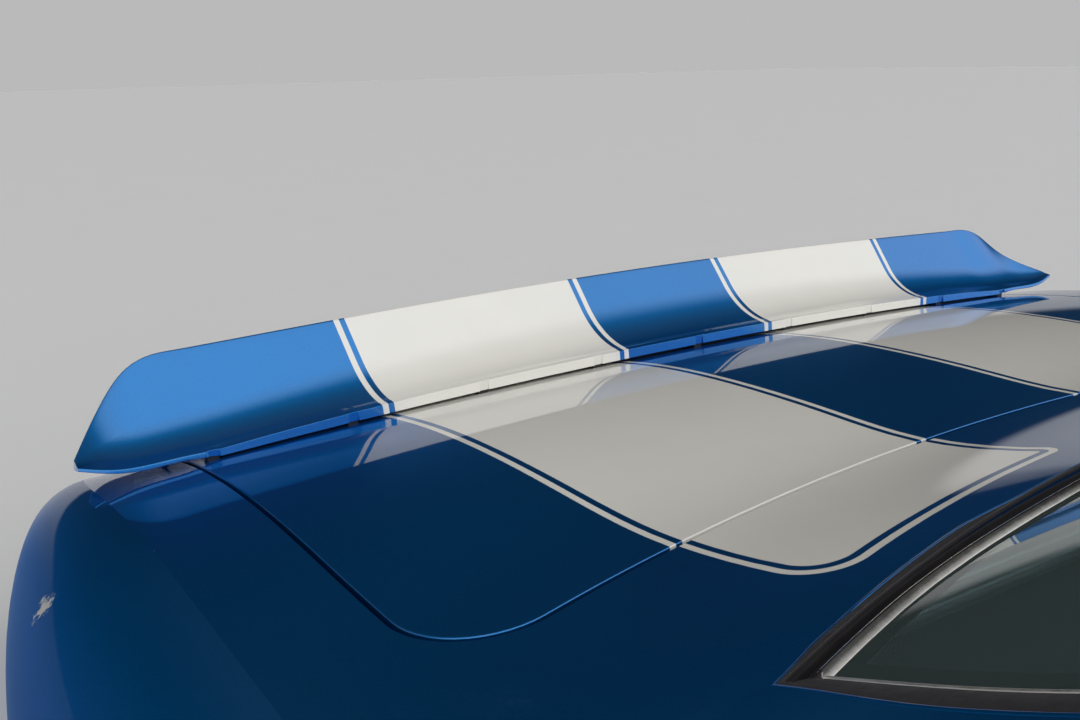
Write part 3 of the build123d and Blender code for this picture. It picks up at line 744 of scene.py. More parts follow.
def flake_group():
    """Fine metal flake in paint: a shade that varies from flake to flake, and a slight unevenness."""
    scales = {"Flake Scale": 900.0, "Peel Scale": 260.0}
    tree, given = new_group("metal_flake", scales, "Shade", "Peel")
    flakes = cells(tree, given["Position"], given["Flake Scale"])
    grey = parts_of(tree, flakes["Color"])[0]
    wide = calc(tree, "MULTIPLY_ADD", noise(tree, given["Position"], 9.0, 3.0), 0.16, 0.82)
    shade = calc(tree, "MULTIPLY_ADD", grey, 0.22, wide)
    put_out(tree, Shade=shade, Peel=noise(tree, given["Position"], given["Peel Scale"], 1.0))
    return tree


def dust_group():
    """Settled dust: scattered specks and a few hazy patches."""
    tree, given = new_group("settled_dust", {"Specks": 0.5, "Haze": 0.2}, "Mask")
    position = given["Position"]
    specks = cells(tree, position, 34.0)
    size = ramp(tree, parts_of(tree, specks["Color"])[0], 0.72, 1.0, 0.0, 0.03)
    speck = calc(tree, "MULTIPLY", calc(tree, "LESS_THAN", specks["Distance"], size), given["Specks"])
    patches = ramp(tree, noise(tree, position, 5.0, 6.0, 0.7), 0.58, 0.8)
    haze = calc(tree, "MULTIPLY", patches, given["Haze"])
    haze = calc(tree, "MULTIPLY", haze, ramp(tree, noise(tree, position, 180.0, 3.0), 0.35, 0.7))
    put_out(tree, Mask=calc(tree, "MAXIMUM", speck, haze, clamp=True))
    return tree


GROUP_NAMES = {stripe_group: "stripe_layout", flake_group: "metal_flake", dust_group: "settled_dust"}


def effect(tree, maker, **inputs):
    """A shared effect placed in a material with its own values."""
    shared = bpy.data.node_groups.get(GROUP_NAMES[maker]) or maker()
    made = add_node(tree, "ShaderNodeGroup", node_tree=shared)
    for label, value in inputs.items():
        set_socket(tree, made.inputs[label.replace("_", " ")], value)
    return made.outputs


def new_material(name, **constants):
    """A material with its Principled shader, and its Object coordinates."""
    material = bpy.data.materials.new(name)
    material.use_nodes = True
    tree = material.node_tree
    shader = tree.nodes["Principled BSDF"]
    for label, value in constants.items():
        shader.inputs[label.replace("_", " ")].default_value = value
    position = add_node(tree, "ShaderNodeTexCoord").outputs["Object"]
    return material, tree, shader, position


def rgba(colour, factor=1.0):
    return (*(min(1.0, c * factor) for c in colour), 1.0)


def mottled(tree, share, colour, dark, light=1.0):
    """A colour that varies between a darker and a lighter shade of itself."""
    return blend_colour(tree, share, rgba(colour, dark), rgba(colour, light))


def bump(tree, shader, height, strength, distance=0.001):
    made = add_node(tree, "ShaderNodeBump", {"Height": height, "Strength": strength, "Distance": distance})
    tree.links.new(made.outputs["Normal"], shader.inputs["Normal"])


def body_paint(name, paint, stripes=None, flank=False):
    """Metallic paint under clear lacquer with dust, with stripes where they run. Panels with a flank
    darken with painted shade and dull with the distance from the middle, and have the chip."""
    constants = {"Coat_Roughness": paint.lacquer_roughness, "Coat_IOR": 1.5, "IOR": 1.5}
    constants["Specular_Tint"] = rgba(paint.edge_tint)
    material, tree, shader, position = new_material(name, **constants)
    flake = effect(tree, flake_group, Position=position)
    colour = blend_colour(tree, flake["Shade"], (0, 0, 0, 1), rgba(paint.colour))
    metallic, roughness = paint.metallic, paint.flake_roughness
    if stripes is not None:
        mask = effect(tree, stripe_group, Position=position, **stripes)["Mask"]
        tone = mottled(tree, noise(tree, position, 22.0, 4.0), paint.stripe_colour, 0.95)
        colour = blend_colour(tree, mask, colour, tone)
        metallic = calc(tree, "MULTIPLY_ADD", mask, -paint.metallic, paint.metallic)
        roughness = ramp(tree, mask, 0.0, 1.0, paint.flake_roughness, 0.5)
    dust = effect(tree, dust_group, Position=position, Specks=0.45, Haze=paint.dust)["Mask"]
    if flank:
        out = calc(tree, "ABSOLUTE", parts_of(tree, position)[0])
        # Painted shade: the flank's colour darkens with the distance from the middle
        painted_shade = ramp(tree, out, *FLANK_SHADE_FADE, 0.0, FLANK_SHADE_SHARE)
        colour = blend_colour(tree, painted_shade, colour, rgba(paint.colour, 0.12))
        dust = calc(tree, "MAXIMUM", dust, chip_mask(tree, position))
    bare = calc(tree, "SUBTRACT", 1.0, dust)
    coat = bare
    if flank:
        coat = calc(tree, "MULTIPLY", bare, ramp(tree, out, *DULL_FADE, 1.0, DULL_COAT))
    set_socket(tree, shader.inputs["Base Color"], blend_colour(tree, dust, colour, DUST_ON_PAINT))
    set_socket(tree, shader.inputs["Metallic"], calc(tree, "MULTIPLY", bare, metallic))
    set_socket(tree, shader.inputs["Roughness"], roughness)
    set_socket(tree, shader.inputs["Coat Weight"], coat)
    bump(tree, shader, flake["Peel"], 0.06, 0.0004)
    return material


def chip_mask(tree, position):
    """A pale chip in the paint on the shoulder, with ragged edges."""
    inputs = {"Vector": position, "Location": [-place for place in CHIP_AT]}
    moved = add_node(tree, "ShaderNodeMapping", inputs).outputs[0]
    length = add_node(tree, "ShaderNodeVectorMath", {0: moved}, operation="LENGTH").outputs["Value"]
    edge = calc(tree, "MULTIPLY_ADD", noise(tree, position, 90.0, 5.0, 0.75), -0.05, length)
    return ramp(tree, edge, *CHIP_EDGE)


# Settings


class PaintSettings(bpy.types.PropertyGroup):
    """The painted panels."""

    colour: FloatVectorProperty(
        name="Paint",
        description="Colour of the metallic paint",
        subtype="COLOR",
        default=(0.0006, 0.178, 0.52),
    )
    stripe_colour: FloatVectorProperty(
        name="Stripes",
        description="Colour of the stripes",
        subtype="COLOR",
        default=(0.86, 0.835, 0.765),
    )
    edge_tint: FloatVectorProperty(
        name="Edge Tint",
        description="Tint of the flakes seen edge on",
        subtype="COLOR",
        default=(0.1, 0.45, 0.9),
    )
    metallic: FloatProperty(
        name="Metallic", description="Share of metal flake", default=0.92, subtype="FACTOR"
    )
    flake_roughness: FloatProperty(
        name="Flake Roughness",
        description="How widely the flakes scatter light",
        default=0.42,
        subtype="FACTOR",
    )
    lacquer_roughness: FloatProperty(
        name="Lacquer Roughness",
        description="Roughness of the clear lacquer",
        default=0.03,
        subtype="FACTOR",
    )
    dust: FloatProperty(
        name="Dust", description="How much dust has settled", default=0.12, subtype="FACTOR"
    )
    hem: FloatProperty(
        name="Hem Radius", description="Radius of the lid's folded edge", default=0.0014, subtype="DISTANCE"
    )


class TrimSettings(bpy.types.PropertyGroup):
    """Glass, bright trim and rubber."""

    glass_tint: FloatVectorProperty(
        name="Glass",
        description="Tint of the rear window",
        subtype="COLOR",
        default=(0.36, 0.5, 0.5),
    )
    bright: FloatVectorProperty(
        name="Bright Metal",
        description="Colour of the mouldings",
        subtype="COLOR",
        default=(0.82, 0.81, 0.78),
    )
    lamp: FloatVectorProperty(
        name="Lamps",
        description="Colour of the tail lamps",
        subtype="COLOR",
        default=(0.42, 0.012, 0.012),
    )


class StageSettings(bpy.types.PropertyGroup):
    """The floor and the light."""

    floor: FloatVectorProperty(
        name="Floor", description="Colour of the floor", subtype="COLOR", default=(0.8, 0.8, 0.8)
    )
    key: FloatProperty(
        name="Key Light", description="Strength of the soft light from the front half", default=1.26
    )
    top: FloatProperty(
        name="Top Light", description="Strength of the soft light from above", default=0.1
    )
    fill: FloatProperty(
        name="Fill Light", description="Strength of the soft light from behind", default=0.35
    )


# Operators


def hem_rings(hem):
    """Rings of points and their directions, from the skin's lower edge over the fold to its face, and the
    last ring's outline."""
    turns = np.radians((0, 0, 22.5, 45, 67.5, 90))
    insets = [0.0] + [hem * (1 - math.cos(turn)) for turn in turns[1:]]
    drops = [LID_SKIN] + [hem * (1 - math.sin(turn)) for turn in turns[1:]]
    points, normals = [], []
    for inset, drop, turn in zip(insets, drops, turns):
        outline = lid_outline(-inset)
        run = np.roll(outline, -1, axis=0) - np.roll(outline, 1, axis=0)
        out = np.column_stack([run[:, 1], -run[:, 0], 0 * run[:, 0]])
        out /= np.linalg.norm(out, axis=1)[:, None]
        height = deck_height(*outline.T)
        up = outward(body_distance, np.column_stack([outline, height]))[0]
        points.append(np.column_stack([outline, height - drop]))
        normals.append(out * math.cos(turn) + up * math.sin(turn))
    return points, normals, outline


def skin_grid():
    """Points spread evenly inside the lid's outline."""
    front = LID_FRONT + LID_FRONT_BOW * LID_HALF**2
    across = np.arange(SKIN_FIRST[0], LID_HALF, SKIN_GRID[0])
    grid_x, grid_y = np.meshgrid(across, np.arange(SKIN_FIRST[1], front, SKIN_GRID[1]))
    grid = np.column_stack([grid_x.ravel(), grid_y.ravel()])
    return grid[inside(grid, lid_outline(-SKIN_MARGIN))]


class DECK_OT_lid_skin(bpy.types.Operator):
    """The boot lid's outer skin, with a rounded hem all round"""

    bl_idname = "deck_section.lid_skin"
    bl_label = "Lid Skin"

    def execute(self, context):
        points, normals, outline = hem_rings(context.scene.deck_paint.hem * 1000)
        count, rings = len(outline), len(points)
        faces = ring_faces(rings, count)
        flat = [Vector(p) for p in np.concatenate([outline, skin_grid()])]
        rim = [(i, (i + 1) % count) for i in range(count)]
        spots, _, triangles, origins, _, _ = delaunay_2d_cdt(flat, rim, [], 1, 1e-6)
        spots = np.array([tuple(p) for p in spots])
        top = np.column_stack([spots, deck_height(*spots.T)])
        up = outward(body_distance, top)[0]
        points += [top, top - (0, 0, LID_SKIN)]
        normals += [up, -up]
        sheet = rings * count

        def corner_at(spot, ring, loose):
            """A spot's corner on a ring, or else its own in the sheet that starts at loose."""
            old = origins[spot]
            return ring * count + old[0] if old and old[0] < count else loose + spot

        for face in triangles:
            a, b, c = (spots[i] for i in face)
            face = face if np.cross(b - a, c - a) > 0 else face[::-1]
            faces.append(tuple(corner_at(i, rings - 1, sheet) for i in face))
            faces.append(tuple(corner_at(i, 0, sheet + len(top)) for i in face[::-1]))
        used, corners = np.unique(np.concatenate(faces), return_inverse=True)
        ends = np.cumsum([len(face) for face in faces])[:-1]
        faces = [part.tolist() for part in np.split(corners.reshape(-1), ends)]
        normals = np.concatenate(normals)[used]
        mesh = mesh_of("lid_skin_panel", np.concatenate(points)[used], faces)
        shade_by_angle(mesh, 60)
        shading = read(mesh.corner_normals, "vector")
        wanted = normals[read(mesh.loops, "vertex_index", 1, np.int32)]
        fits = np.sum(shading * wanted, axis=1) > 0.8
        shading[fits] = wanted[fits]
        mesh.normals_split_custom_set(shading.tolist())
        paint = body_paint("lid_paint", context.scene.deck_paint, stripes={})
        dress("lid_skin_panel", mesh, paint, "lid", "body_paint", "lid_skin")
        return {"FINISHED"}


class DECK_OT_body_panels(bpy.types.Operator):
    """The painted panels round the lid: quarters, pillars, roof, deck and tail"""

    bl_idname = "deck_section.body_panels"
    bl_label = "Body Panels"

    def execute(self, context):
        paint = context.scene.deck_paint
        plain = body_paint("panel_paint", paint, flank=True)
        ends = {"Front_End": STRIPE_FRONT - FORWARD, "Sideways": STRIPE_SHIFT}
        deck = body_paint("deck_paint", paint, stripes=ends)
        panel_pieces(deck, (body_distance, roof_distance), soften_foot, "deck_panel")
        panel_pieces(plain, (body_distance,), crease_shoulder, "quarter_right", "quarter_left")
        panel_pieces(plain, (roof_distance,), soften_foot, "sail_right", "sail_left")
        panel_pieces(plain, (body_distance,), None, "tail_panel")
        panel_pieces(plain, (roof_distance,), None, "roof_panel")
        return {"FINISHED"}


def spoiler_values(x):
    """The spoiler's slice sizes at distances from its middle."""
    x = np.abs(np.asarray(x, float))
    half = [row for row in SPOILER if row[0] in (0, 320, SPOILER_END)]
    middle = along([(-row[0], *row[1:]) for row in half[:0:-1]] + half, np.minimum(x, SPOILER_END))
    end = along(SPOILER[2:], x)
    return np.where((x <= SPOILER_END)[:, None], middle, end)


def three_point_arc(start, middle, end, count):
    """Points along the arc through three points."""
    cx, cz, radius = circle_through(start, middle, end)
    a, b, c = (math.atan2(p[1] - cz, p[0] - cx) for p in (start, middle, end))
    sweep = (c - a) % (2 * math.pi)
    if (b - a) % (2 * math.pi) > sweep:
        sweep -= 2 * math.pi
    return [
        (cx + radius * math.cos(a + sweep * t), cz + radius * math.sin(a + sweep * t))
        for t in np.linspace(0, 1, count)
    ]


def between(start, end, count):
    """Points spread evenly from one to another."""
    return [tuple(np.array(start) * (1 - t) + np.array(end) * t) for t in np.linspace(0, 1, count)]


def rounded(before, corner, after, radius, count):
    """Points that round a corner between two straight runs."""
    corner, before, after = (np.array(p, float) for p in (corner, before, after))
    back, on = before - corner, after - corner
    lengths = np.linalg.norm(back), np.linalg.norm(on)
    back, on = back / lengths[0], on / lengths[1]
    angle = math.acos(np.clip(back @ on, -1, 1))
    reach = min(radius / math.tan(angle / 2), 0.45 * lengths[0], 0.45 * lengths[1])
    start, end = corner + back * reach, corner + on * reach
    t = np.linspace(0, 1, count)[:, None]
    return [tuple(p) for p in (1 - t) ** 2 * start + 2 * t * (1 - t) * corner + t**2 * end]


def blade_slice(row, front):
    """The blade's slice, whose lip is cut back to a given y where the strip takes its place."""
    lip_y, lip_z, high = row[:3]
    root, bend, neck, top, foot, under = zip(row[3::2], row[4::2])
    lip, lip_top = (lip_y, lip_z), (lip_y - 1, lip_z + high)
    crest = (top[0] - 0.6 * high, top[1] - 0.3 * high)
    face = three_point_arc(root, bend, neck, 24)
    face += between(neck, top, 7)[1:]
    belly = three_point_arc(foot, under, lip, 14)
    reach = 0.92
    if front is not None:
        share = (front - root[0]) / (lip_top[0] - root[0])
        lip_top = (front, root[1] + share * (lip_top[1] - root[1]))
        belly_z = np.interp(front, [p[0] for p in belly], [p[1] for p in belly])
        lip = (front, belly_z)
        belly = [p for p in belly if p[0] < front - 4]
        reach = 1.0
    share = np.linspace(0, 1, len(belly))
    run = (np.interp(np.linspace(0, reach, 12)[1:], share, values) for values in zip(*belly))
    belly = [belly[0], *zip(*run)]
    points = rounded(belly[-1], lip, lip_top, LOW_LIP_ROUND, 4)
    points += rounded(lip, lip_top, face[0], HIGH_LIP_ROUND, 5)
    points += face[:-1]
    points += rounded(face[-2], face[-1], crest, CREST_ROUND, 5)
    points += rounded(face[-1], crest, belly[0], CREST_ROUND, 5)
    points += between(crest, belly[0], 12)[1:-1]
    points += rounded(crest, belly[0], belly[1], CREST_ROUND, 4)
    points += belly[1:]
    return points


def loft(name, stations, slices):
    """A closed skin through slices that all have the same number of points."""
    points = [(x, y, z) for x, row in zip(stations, slices) for y, z in row]
    count = len(slices[0])
    faces = ring_faces(len(slices), count)
    faces.append(tuple(range(count)))
    faces.append(tuple(range(len(points) - 1, len(points) - count - 1, -1)))
    mesh = mesh_of(name, points, faces)
    face_outwards(mesh)
    return mesh


def swept(name, lines):
    """A closed bar between lines that run side by side, the last beside the first."""
    count = len(lines[0])
    starts = [count * k for k in range(len(lines))]
    faces = []
    for here, beside in zip(starts, starts[1:] + starts[:1]):
        faces += [(here + i, here + i + 1, beside + i + 1, beside + i) for i in range(count - 1)]
    faces.append(tuple(starts))
    faces.append(tuple(start + count - 1 for start in reversed(starts)))
    mesh = mesh_of(name, np.concatenate(lines), faces)
    face_outwards(mesh)
    return mesh


def paint_lap(part, x, y):
    """How much of the painted edge's full lap there is at points of the window's outline."""
    if part == "top":
        return np.ones_like(x)
    if part == "side":
        return LEAST_LAP + (1 - LEAST_LAP) * fade(y, *LAP_SIDE_FADE)
    falling = LEAST_LAP + (1 - LEAST_LAP) * fade(np.abs(x), *LAP_CORNER_FADE)
    return fade(np.abs(x), *LAP_MIDDLE_FADE) * falling


def window_bar(name, part, profile, material, slot, node=None, mirror=1, stop=None, paint_side=False):
    """A bar along one edge of the rear window, from a profile of insets and depths, in place of a node
    where one is given."""
    lines = []
    for inset, depth in profile:
        run = np.array(window_run(part, inset, stop))
        if paint_side and inset < 0.4:
            share = paint_lap(part, *run.T)[:, None]
            run = share * run + (1 - share) * np.array(window_run(part, min(inset + PAINT_LAP, 0.3)))
        x, y = run.T
        height = roof_height(x, y)
        if paint_side:
            height = np.maximum(height, deck_height(x, y))
        lines.append(np.column_stack([mirror * x, y, height - depth]))
    mesh = swept(name, lines)
    shade_by_angle(mesh, 50)
    dress(name, mesh, material, "shell", slot, *([node] if node else []))


class DECK_OT_spoiler(bpy.types.Operator):
    """The rear spoiler's blade"""

    bl_idname = "deck_section.spoiler"
    bl_label = "Spoiler"

    def execute(self, context):
        paint = body_paint("blade_paint", context.scene.deck_paint, stripes={"Lean": 0.08})
        inner = list(np.linspace(-STRIP_END, STRIP_END, 131))
        outer = [STRIP_END + 0.2, *np.linspace(STRIP_END + 4, BLADE_TIP, 46)]
        stations = [-x for x in reversed(outer)] + inner + outer
        values = spoiler_values(stations)
        fronts = [STRIP_CUT if abs(x) <= STRIP_END else None for x in stations]
        slices = [blade_slice(row, front) for row, front in zip(values, fronts)]
        mesh = loft("spoiler_blade", stations, slices)
        shade_by_angle(mesh, 34)
        dress("spoiler_blade", mesh, paint, "lid", "spoiler_paint", "spoiler")
        return {"FINISHED"}


class DECK_OT_strip(bpy.types.Operator):
    """The spoiler's lip strip, its spacer blocks and a dark seal that doubles as the gap's shadow"""

    bl_idname = "deck_section.strip"
    bl_label = "Spoiler Strip"

    def execute(self, context):
        paint = bpy.data.materials["blade_paint"]
        mesh = merged("spoiler_strip_form", "spoiler_strip")
        strip = dress("spoiler_strip_form", mesh, paint, "lid", "spoiler_paint", "spoiler_strip")
        edge = strip.modifiers.new("rounded_edges", "BEVEL")
        edge.width, edge.segments = STRIP_EDGE, 3
        edge.limit_method, edge.angle_limit = "ANGLE", math.radians(40)
        shade_by_angle(mesh, 50)
        self.seal()
        rubber = rubber_material("pad_rubber")
        places = sorted({side * x for x in PAD_X for side in (1, -1)})
        ahead = np.full(len(places), PAD_Y)
        middle = (spoiler_values(places)[:, 1] + deck_height(places, ahead)) / 2
        points = np.column_stack([places, ahead, middle])
        layout = repeat_tree("spacer_layout", "block")
        fit(repeated("spacer_pads", layout, points, PAD_SIZE, rubber), "lid", "rubber", "spoiler_pads")
        return {"FINISHED"}

    def seal(self):
        """The dark foam seal behind the strip, which also stands in for the shadow in that gap."""
        x = np.linspace(-SHADE_SEAL_HALF, SHADE_SEAL_HALF, 101)
        front, back = np.full_like(x, SHADE_SEAL_FRONT), np.full_like(x, SHADE_SEAL_REAR)
        lines = [np.column_stack([x, y, self.underside(x, y) + SHADE_SEAL_OVERLAP[0]]) for y in (front, back)]
        lines += [np.column_stack([x, y, deck_height(x, y) - SHADE_SEAL_OVERLAP[1]]) for y in (back, front)]
        mesh = swept("gap_shade_seal", lines)
        shade_by_angle(mesh)
        dress("gap_shade_seal", mesh, rubber_material("shade_seal_foam"), "lid", "rubber")

    def underside(self, x, y):
        """Height of the blade's underside."""
        bellies = [three_point_arc(row[11:13], row[13:15], row[:2], 30) for row in spoiler_values(x)]
        return np.array([np.interp(at, *np.array(belly).T) for at, belly in zip(y, bellies)])


def rubber_material(name):
    material, tree, shader, position = new_material(name, Roughness=0.62)
    grain = noise(tree, position, 700.0, 3.0)
    colour = blend_colour(tree, grain, (0.012, 0.012, 0.013, 1), (0.03, 0.03, 0.031, 1))
    tree.links.new(colour, shader.inputs["Base Color"])
    bump(tree, shader, grain, 0.2, 0.0003)
    return material


def satin_material(name, colour, roughness, metallic=0.0, scale=60.0, grain=0.12):
    """Satin paint or plain metal with a fine grain and faint marks."""
    material, tree, shader, position = new_material(name, Metallic=metallic)
    marks = noise(tree, position, scale, 5.0, 0.65)
    shade = mottled(tree, marks, colour, 0.78, 1.15)
    dust = effect(tree, dust_group, Position=position, Specks=0.3, Haze=0.25)["Mask"]
    tree.links.new(blend_colour(tree, dust, shade, DUST_ON_TRIM), shader.inputs["Base Color"])
    rough = ramp(tree, marks, 0.3, 0.7, roughness * 0.85, min(1.0, roughness * 1.15))
    tree.links.new(rough, shader.inputs["Roughness"])
    bump(tree, shader, noise(tree, position, 900.0, 2.0), grain, 0.0002)
    return material


def bright_material(name, colour, roughness=0.16):
    """Bright trim metal."""
    return satin_material(name, colour, roughness, metallic=1.0, scale=140.0, grain=0.015)


def glass_material(trim):
    constants = {"Transmission_Weight": 0.88, "IOR": 1.5, "Metallic": 0.0}
    material, tree, shader, position = new_material("tinted_glass", **constants)
    dust = effect(tree, dust_group, Position=position, Specks=0.5, Haze=0.15)["Mask"]
    colour = blend_colour(tree, dust, rgba(trim.glass_tint), DUST_ON_GLASS)
    tree.links.new(colour, shader.inputs["Base Color"])
    tree.links.new(ramp(tree, dust, 0.0, 1.0, 0.0, 0.6), shader.inputs["Roughness"])
    return material


class DECK_OT_window(bpy.types.Operator):
    """The rear window, its channel and its bright mouldings"""

    bl_idname = "deck_section.window"
    bl_label = "Rear Window"

    def execute(self, context):
        trim = context.scene.deck_trim
        self.glass(trim)
        black = satin_material("channel_black", (0.028, 0.025, 0.028), 0.6)
        plain_pieces("shell", "black_paint", black, "window_channel")
        bright = bright_material("moulding_bright", trim.bright)
        satin = bright_material("bead_satin", trim.bright, 0.46)
        bar = dict(slot="bright_metal", profile=self.BAR, material=bright)
        window_bar("lower_moulding", "rear", node="moulding_lower", stop=MOULDING_STOP, **bar)
        ends = window_run("rear", STUD_INSET, MOULDING_STOP)[[0, -1]]
        points = np.column_stack([ends, roof_height(*ends.T) - STUD_DEPTH])
        studs = repeated("corner_studs", repeat_tree("corner_stud", "boss"), points, STUD_SIZE, bright)
        fit(studs, "shell", "bright_metal")
        window_bar("upper_moulding", "top", node="moulding_upper", **bar)
        bead = dict(slot="bright_metal", profile=self.BEAD, material=satin)
        band = dict(slot="black_paint", profile=self.BAND, material=black)
        for side, mirror in (("right", 1), ("left", -1)):
            window_bar("side_bead_" + side, "side", node="moulding_" + side, mirror=mirror, **bead)
            window_bar("side_band_" + side, "side", mirror=mirror, **band)
        self.painted_edges()
        return {"FINISHED"}

    # Insets from the painted edge and depths below the outer surface
    BAR = [(15.2, 9.5), (15.0, 2.4), (15.3, 1.6), (16.0, 1.15), (17.0, 1.3), (18.4, 2.4), (20.4, 4.4)]
    BAR += [(22.4, 6.5), (23.8, 8.1), (24.4, 8.9), (24.6, 9.8)]
    BEAD = [(15.6, 8.5), (15.7, 5.3), (16.2, 4.7), (17.0, 4.5), (17.8, 4.9), (18.2, 5.8), (18.2, 8.5)]
    BAND = [(0.4, 9.5), (0.4, 2.6), (2.0, 2.3), (7.0, 2.7), (12.0, 3.8), (15.4, 5.2), (15.8, 9.5)]
    ROLL = [(-9.2, 0.6), (-9.0, 0.05), (-8.3, -0.4), (-7.5, -0.6), (-6.8, -0.5), (-6.3, 0.0)]
    ROLL += [(-6.2, 0.8), (-8, 0.9)]
    LIP = [(-6.6, 0.6), (-6.4, -0.2), (-4.0, -0.45), (-1.0, -0.6), (0.4, -0.45), (1.0, 0.4)]
    LIP += [(1.0, 3.3), (-1.0, 3.3)]

    def glass(self, trim):
        """The glass, lower than its plain solid, with its shading turned out toward its sides."""
        mesh = merged("tinted_window", "rear_window")
        for vertex in mesh.vertices:
            vertex.co.z -= GLASS_DROP
        shade_as_surface(mesh, (roof_distance,))
        shading, place, _ = corner_shading(mesh)
        share = np.clip((np.abs(place[:, 0]) - GLASS_LEAN_FROM) / GLASS_LEAN_RUN, 0, 1)
        shading[:, 0] += GLASS_LEAN * share * np.sign(place[:, 0]) * np.sign(shading[:, 2])
        set_shading(mesh, shading)
        dress("tinted_window", mesh, glass_material(trim), "shell", "window_glass", "rear_window")

    def painted_edges(self):
        """The rolled edge of the panels round the window, and the black lip that laps it."""
        paint, black = bpy.data.materials["panel_paint"], bpy.data.materials["channel_black"]
        roll = dict(slot="body_paint", profile=self.ROLL, material=paint, paint_side=True)
        lip = dict(slot="black_paint", profile=self.LIP, material=black, paint_side=True)
        runs = (("deck", "rear", 1), ("roof", "top", 1), ("right", "side", 1), ("left", "side", -1))
        for run, part, mirror in runs:
            window_bar("painted_roll_" + run, part, mirror=mirror, **roll)
            window_bar("black_lip_" + run, part, mirror=mirror, **lip)


class DECK_OT_opening(bpy.types.Operator):
    """The gutter round the lid's opening, its seal and the bumpers"""

    bl_idname = "deck_section.opening"
    bl_label = "Lid Opening"

    def execute(self, context):
        # The gutter's blue paint is darkened with painted shade for the deep gap round the lid
        inner = satin_material("gutter_paint_shaded", INNER_BLUE_SHADED, 0.4)
        plain_pieces("shell", "frame_paint", inner, "gutter")
        rubber = rubber_material("seal_rubber")
        plain_pieces("shell", "rubber", rubber, "weatherstrip", "lid_bumpers")
        return {"FINISHED"}


class DECK_OT_hinges(bpy.types.Operator):
    """The lid's inner frame, goose-neck hinges, torsion rods, latch and its loop"""

    bl_idname = "deck_section.hinges"
    bl_label = "Hinges and Latch"

    def execute(self, context):
        # The inner frame's blue paint carries the same painted shade
        inner = satin_material("inner_paint_shaded", INNER_BLUE_SHADED, 0.4)
        plain_pieces("lid", "frame_paint", inner, "lid_frame", "hinge_arm_right", "hinge_arm_left")
        plain_pieces("shell", "frame_paint", inner, "hinge_bracket_right", "hinge_bracket_left")
        steel = satin_material("bare_steel", (0.42, 0.42, 0.43), 0.35, metallic=1.0)
        plain_pieces("lid", "steel", steel, "latch")
        plain_pieces("shell", "steel", steel, "striker", "torsion_rods")
        return {"FINISHED"}


class DECK_OT_lamps(bpy.types.Operator):
    """The tail lamps, with their bezels and housings"""

    bl_idname = "deck_section.lamps"
    bl_label = "Tail Lamps"

    def execute(self, context):
        trim = context.scene.deck_trim
        lens, tree, shader, position = new_material("lens_red", Roughness=0.08, IOR=1.49, Coat_Weight=0.6)
        red = mottled(tree, noise(tree, position, 40.0, 3.0), trim.lamp, 0.85)
        tree.links.new(red, shader.inputs["Base Color"])
        bright = bright_material("bezel_bright", trim.bright)
        black = satin_material("housing_black", (0.02, 0.02, 0.021), 0.55)
        ribs = repeat_tree("lens_ribs", "block")
        for side, mirror in (("right", 1), ("left", -1)):
            plain_pieces("shell", "lamp_red", lens, "tail_lamp_" + side)
            steps = np.arange(-RIB_REACH, RIB_REACH + 1, RIB_STEP)
            across = [mirror * (LAMP_X + step) for step in steps]
            points = [(x, LAMP_REAR + LID_REAR_BOW * x * x - RIB_SUNK, LAMP_Z) for x in across]
            lines = repeated("lens_ribs_" + side, ribs, points, RIB_SIZE, lens)
            fit(lines, "shell", "lamp_red")
            plain_pieces("shell", "bright_metal", bright, "lamp_bezel_" + side)
            plain_pieces("shell", "black_paint", black, "lamp_housing_" + side)
        return {"FINISHED"}


class DECK_OT_cabin(bpy.types.Operator):
    """The package shelf, the seat bulkhead and the wheelhouses"""

    bl_idname = "deck_section.cabin"
    bl_label = "Shelf and Bulkhead"

    def execute(self, context):
        board = satin_material("shelf_felt", (0.03, 0.03, 0.033), 0.85, scale=300.0)
        plain_pieces("shell", "shelf_board", board, "package_shelf")
        black = satin_material("bulkhead_black", (0.025, 0.025, 0.027), 0.5)
        plain_pieces("shell", "black_paint", black, "seat_bulkhead", "bulkhead_sill", "bulkhead_posts")
        plain_pieces("shell", "black_paint", black, "wheelhouse_right", "wheelhouse_left")
        return {"FINISHED"}


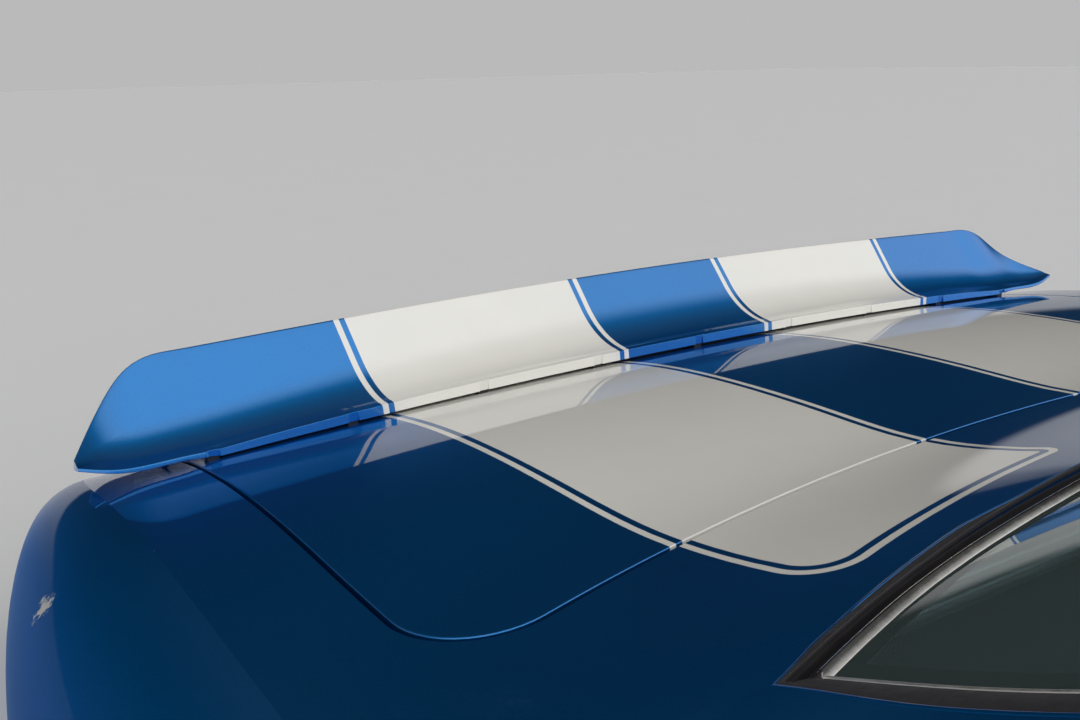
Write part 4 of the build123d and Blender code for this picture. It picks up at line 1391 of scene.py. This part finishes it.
class DECK_OT_stage(bpy.types.Operator):
    """The floor, the soft light and the camera"""

    bl_idname = "deck_section.stage"
    bl_label = "Stage"

    def execute(self, context):
        settings = context.scene.deck_stage
        self.light(context.scene, settings)
        self.floor(settings)
        self.camera(context.scene)
        context.scene.view_settings.view_transform = "Standard"
        return {"FINISHED"}

    def light(self, scene, settings):
        world = bpy.data.worlds.new("soft_room")
        scene.world = world
        world.use_nodes = True
        tree = world.node_tree
        background = tree.nodes["Background"]
        direction = add_node(tree, "ShaderNodeTexCoord").outputs["Generated"]
        _, ahead, height = parts_of(tree, direction)
        key = calc(tree, "MULTIPLY", ramp(tree, ahead, *KEY_FADE), settings.key)
        inputs = {0: direction, 1: Vector(FILL_AIM).normalized()}
        facing = add_node(tree, "ShaderNodeVectorMath", inputs, operation="DOT_PRODUCT").outputs["Value"]
        fill = calc(tree, "MULTIPLY", ramp(tree, facing, *FILL_FADE), settings.fill)
        horizon = ramp(tree, height, *HORIZON_FADE, *HORIZON_LIGHT)
        above = ramp(tree, height, *TOP_FADE, 0.0, settings.top)
        total = calc(tree, "ADD", calc(tree, "ADD", key, fill), calc(tree, "ADD", horizon, above))
        tree.links.new(total, background.inputs["Strength"])
        background.inputs["Color"].default_value = (1, 1, 1, 1)

    def floor(self, settings):
        mesh = bpy.data.meshes.new("floor")
        corners = [(-1, -1, 0), (1, -1, 0), (1, 1, 0), (-1, 1, 0)]
        mesh.from_pydata([(FLOOR_REACH * x, FLOOR_REACH * y, z) for x, y, z in corners], [], [(0, 1, 2, 3)])
        material, tree, shader, position = new_material("floor_plain", Roughness=0.9)
        colour = mottled(tree, noise(tree, position, 3.0, 2.0), settings.floor, 0.98)
        tree.links.new(colour, shader.inputs["Base Color"])
        new_object("floor", mesh, material)

    def camera(self, scene):
        yaw, pitch, roll = (math.radians(angle) for angle in CAMERA_TURN)
        level = math.cos(pitch)
        forward = Vector((-math.sin(yaw) * level, -math.cos(yaw) * level, -math.sin(pitch)))
        right = forward.cross(Vector((0, 0, 1))).normalized()
        up = right.cross(forward)
        across = math.cos(roll) * right + math.sin(roll) * up
        upward = -math.sin(roll) * right + math.cos(roll) * up
        data = bpy.data.cameras.new("camera")
        data.lens = CAMERA_FOCAL / PHOTO_WIDTH * SENSOR
        data.sensor_width = SENSOR
        data.clip_start = 0.02
        data.clip_end = 200
        camera = bpy.data.objects.new("camera", data)
        turn = Matrix((across, upward, -forward)).transposed().to_4x4()
        camera.matrix_world = Matrix.Translation(CAMERA_PLACE) @ turn
        scene.collection.objects.link(camera)
        scene.camera = camera


class DECK_PT_panel(bpy.types.Panel):
    """Lists what the section is made from"""

    bl_idname = "DECK_PT_panel"
    bl_label = "Deck Section"
    bl_space_type = "VIEW_3D"
    bl_region_type = "UI"
    bl_category = "Deck Section"

    def draw(self, context):
        layout = self.layout
        for settings in (context.scene.deck_paint, context.scene.deck_trim, context.scene.deck_stage):
            box = layout.box()
            for name in settings.bl_rna.properties.keys():
                if name not in ("rna_type", "name"):
                    box.prop(settings, name)
        for operator in OPERATORS:
            layout.operator(operator.bl_idname)


OPERATORS = (
    DECK_OT_lid_skin,
    DECK_OT_body_panels,
    DECK_OT_spoiler,
    DECK_OT_strip,
    DECK_OT_window,
    DECK_OT_opening,
    DECK_OT_hinges,
    DECK_OT_lamps,
    DECK_OT_cabin,
    DECK_OT_stage,
)
SETTINGS = {"deck_paint": PaintSettings, "deck_trim": TrimSettings, "deck_stage": StageSettings}


def register():
    for settings in SETTINGS.values():
        bpy.utils.register_class(settings)
    for name, settings in SETTINGS.items():
        setattr(bpy.types.Scene, name, PointerProperty(type=settings))
    for operator in OPERATORS:
        bpy.utils.register_class(operator)
    bpy.utils.register_class(DECK_PT_panel)


def unregister():
    bpy.utils.unregister_class(DECK_PT_panel)
    for operator in reversed(OPERATORS):
        bpy.utils.unregister_class(operator)
    for name in SETTINGS:
        delattr(bpy.types.Scene, name)
    for settings in SETTINGS.values():
        bpy.utils.unregister_class(settings)


def main():
    register()
    bpy.ops.deck_section.lid_skin()
    bpy.ops.deck_section.body_panels()
    bpy.ops.deck_section.spoiler()
    bpy.ops.deck_section.strip()
    bpy.ops.deck_section.window()
    bpy.ops.deck_section.opening()
    bpy.ops.deck_section.hinges()
    bpy.ops.deck_section.lamps()
    bpy.ops.deck_section.cabin()
    bpy.ops.deck_section.stage()


if __name__ == "__main__":
    main()
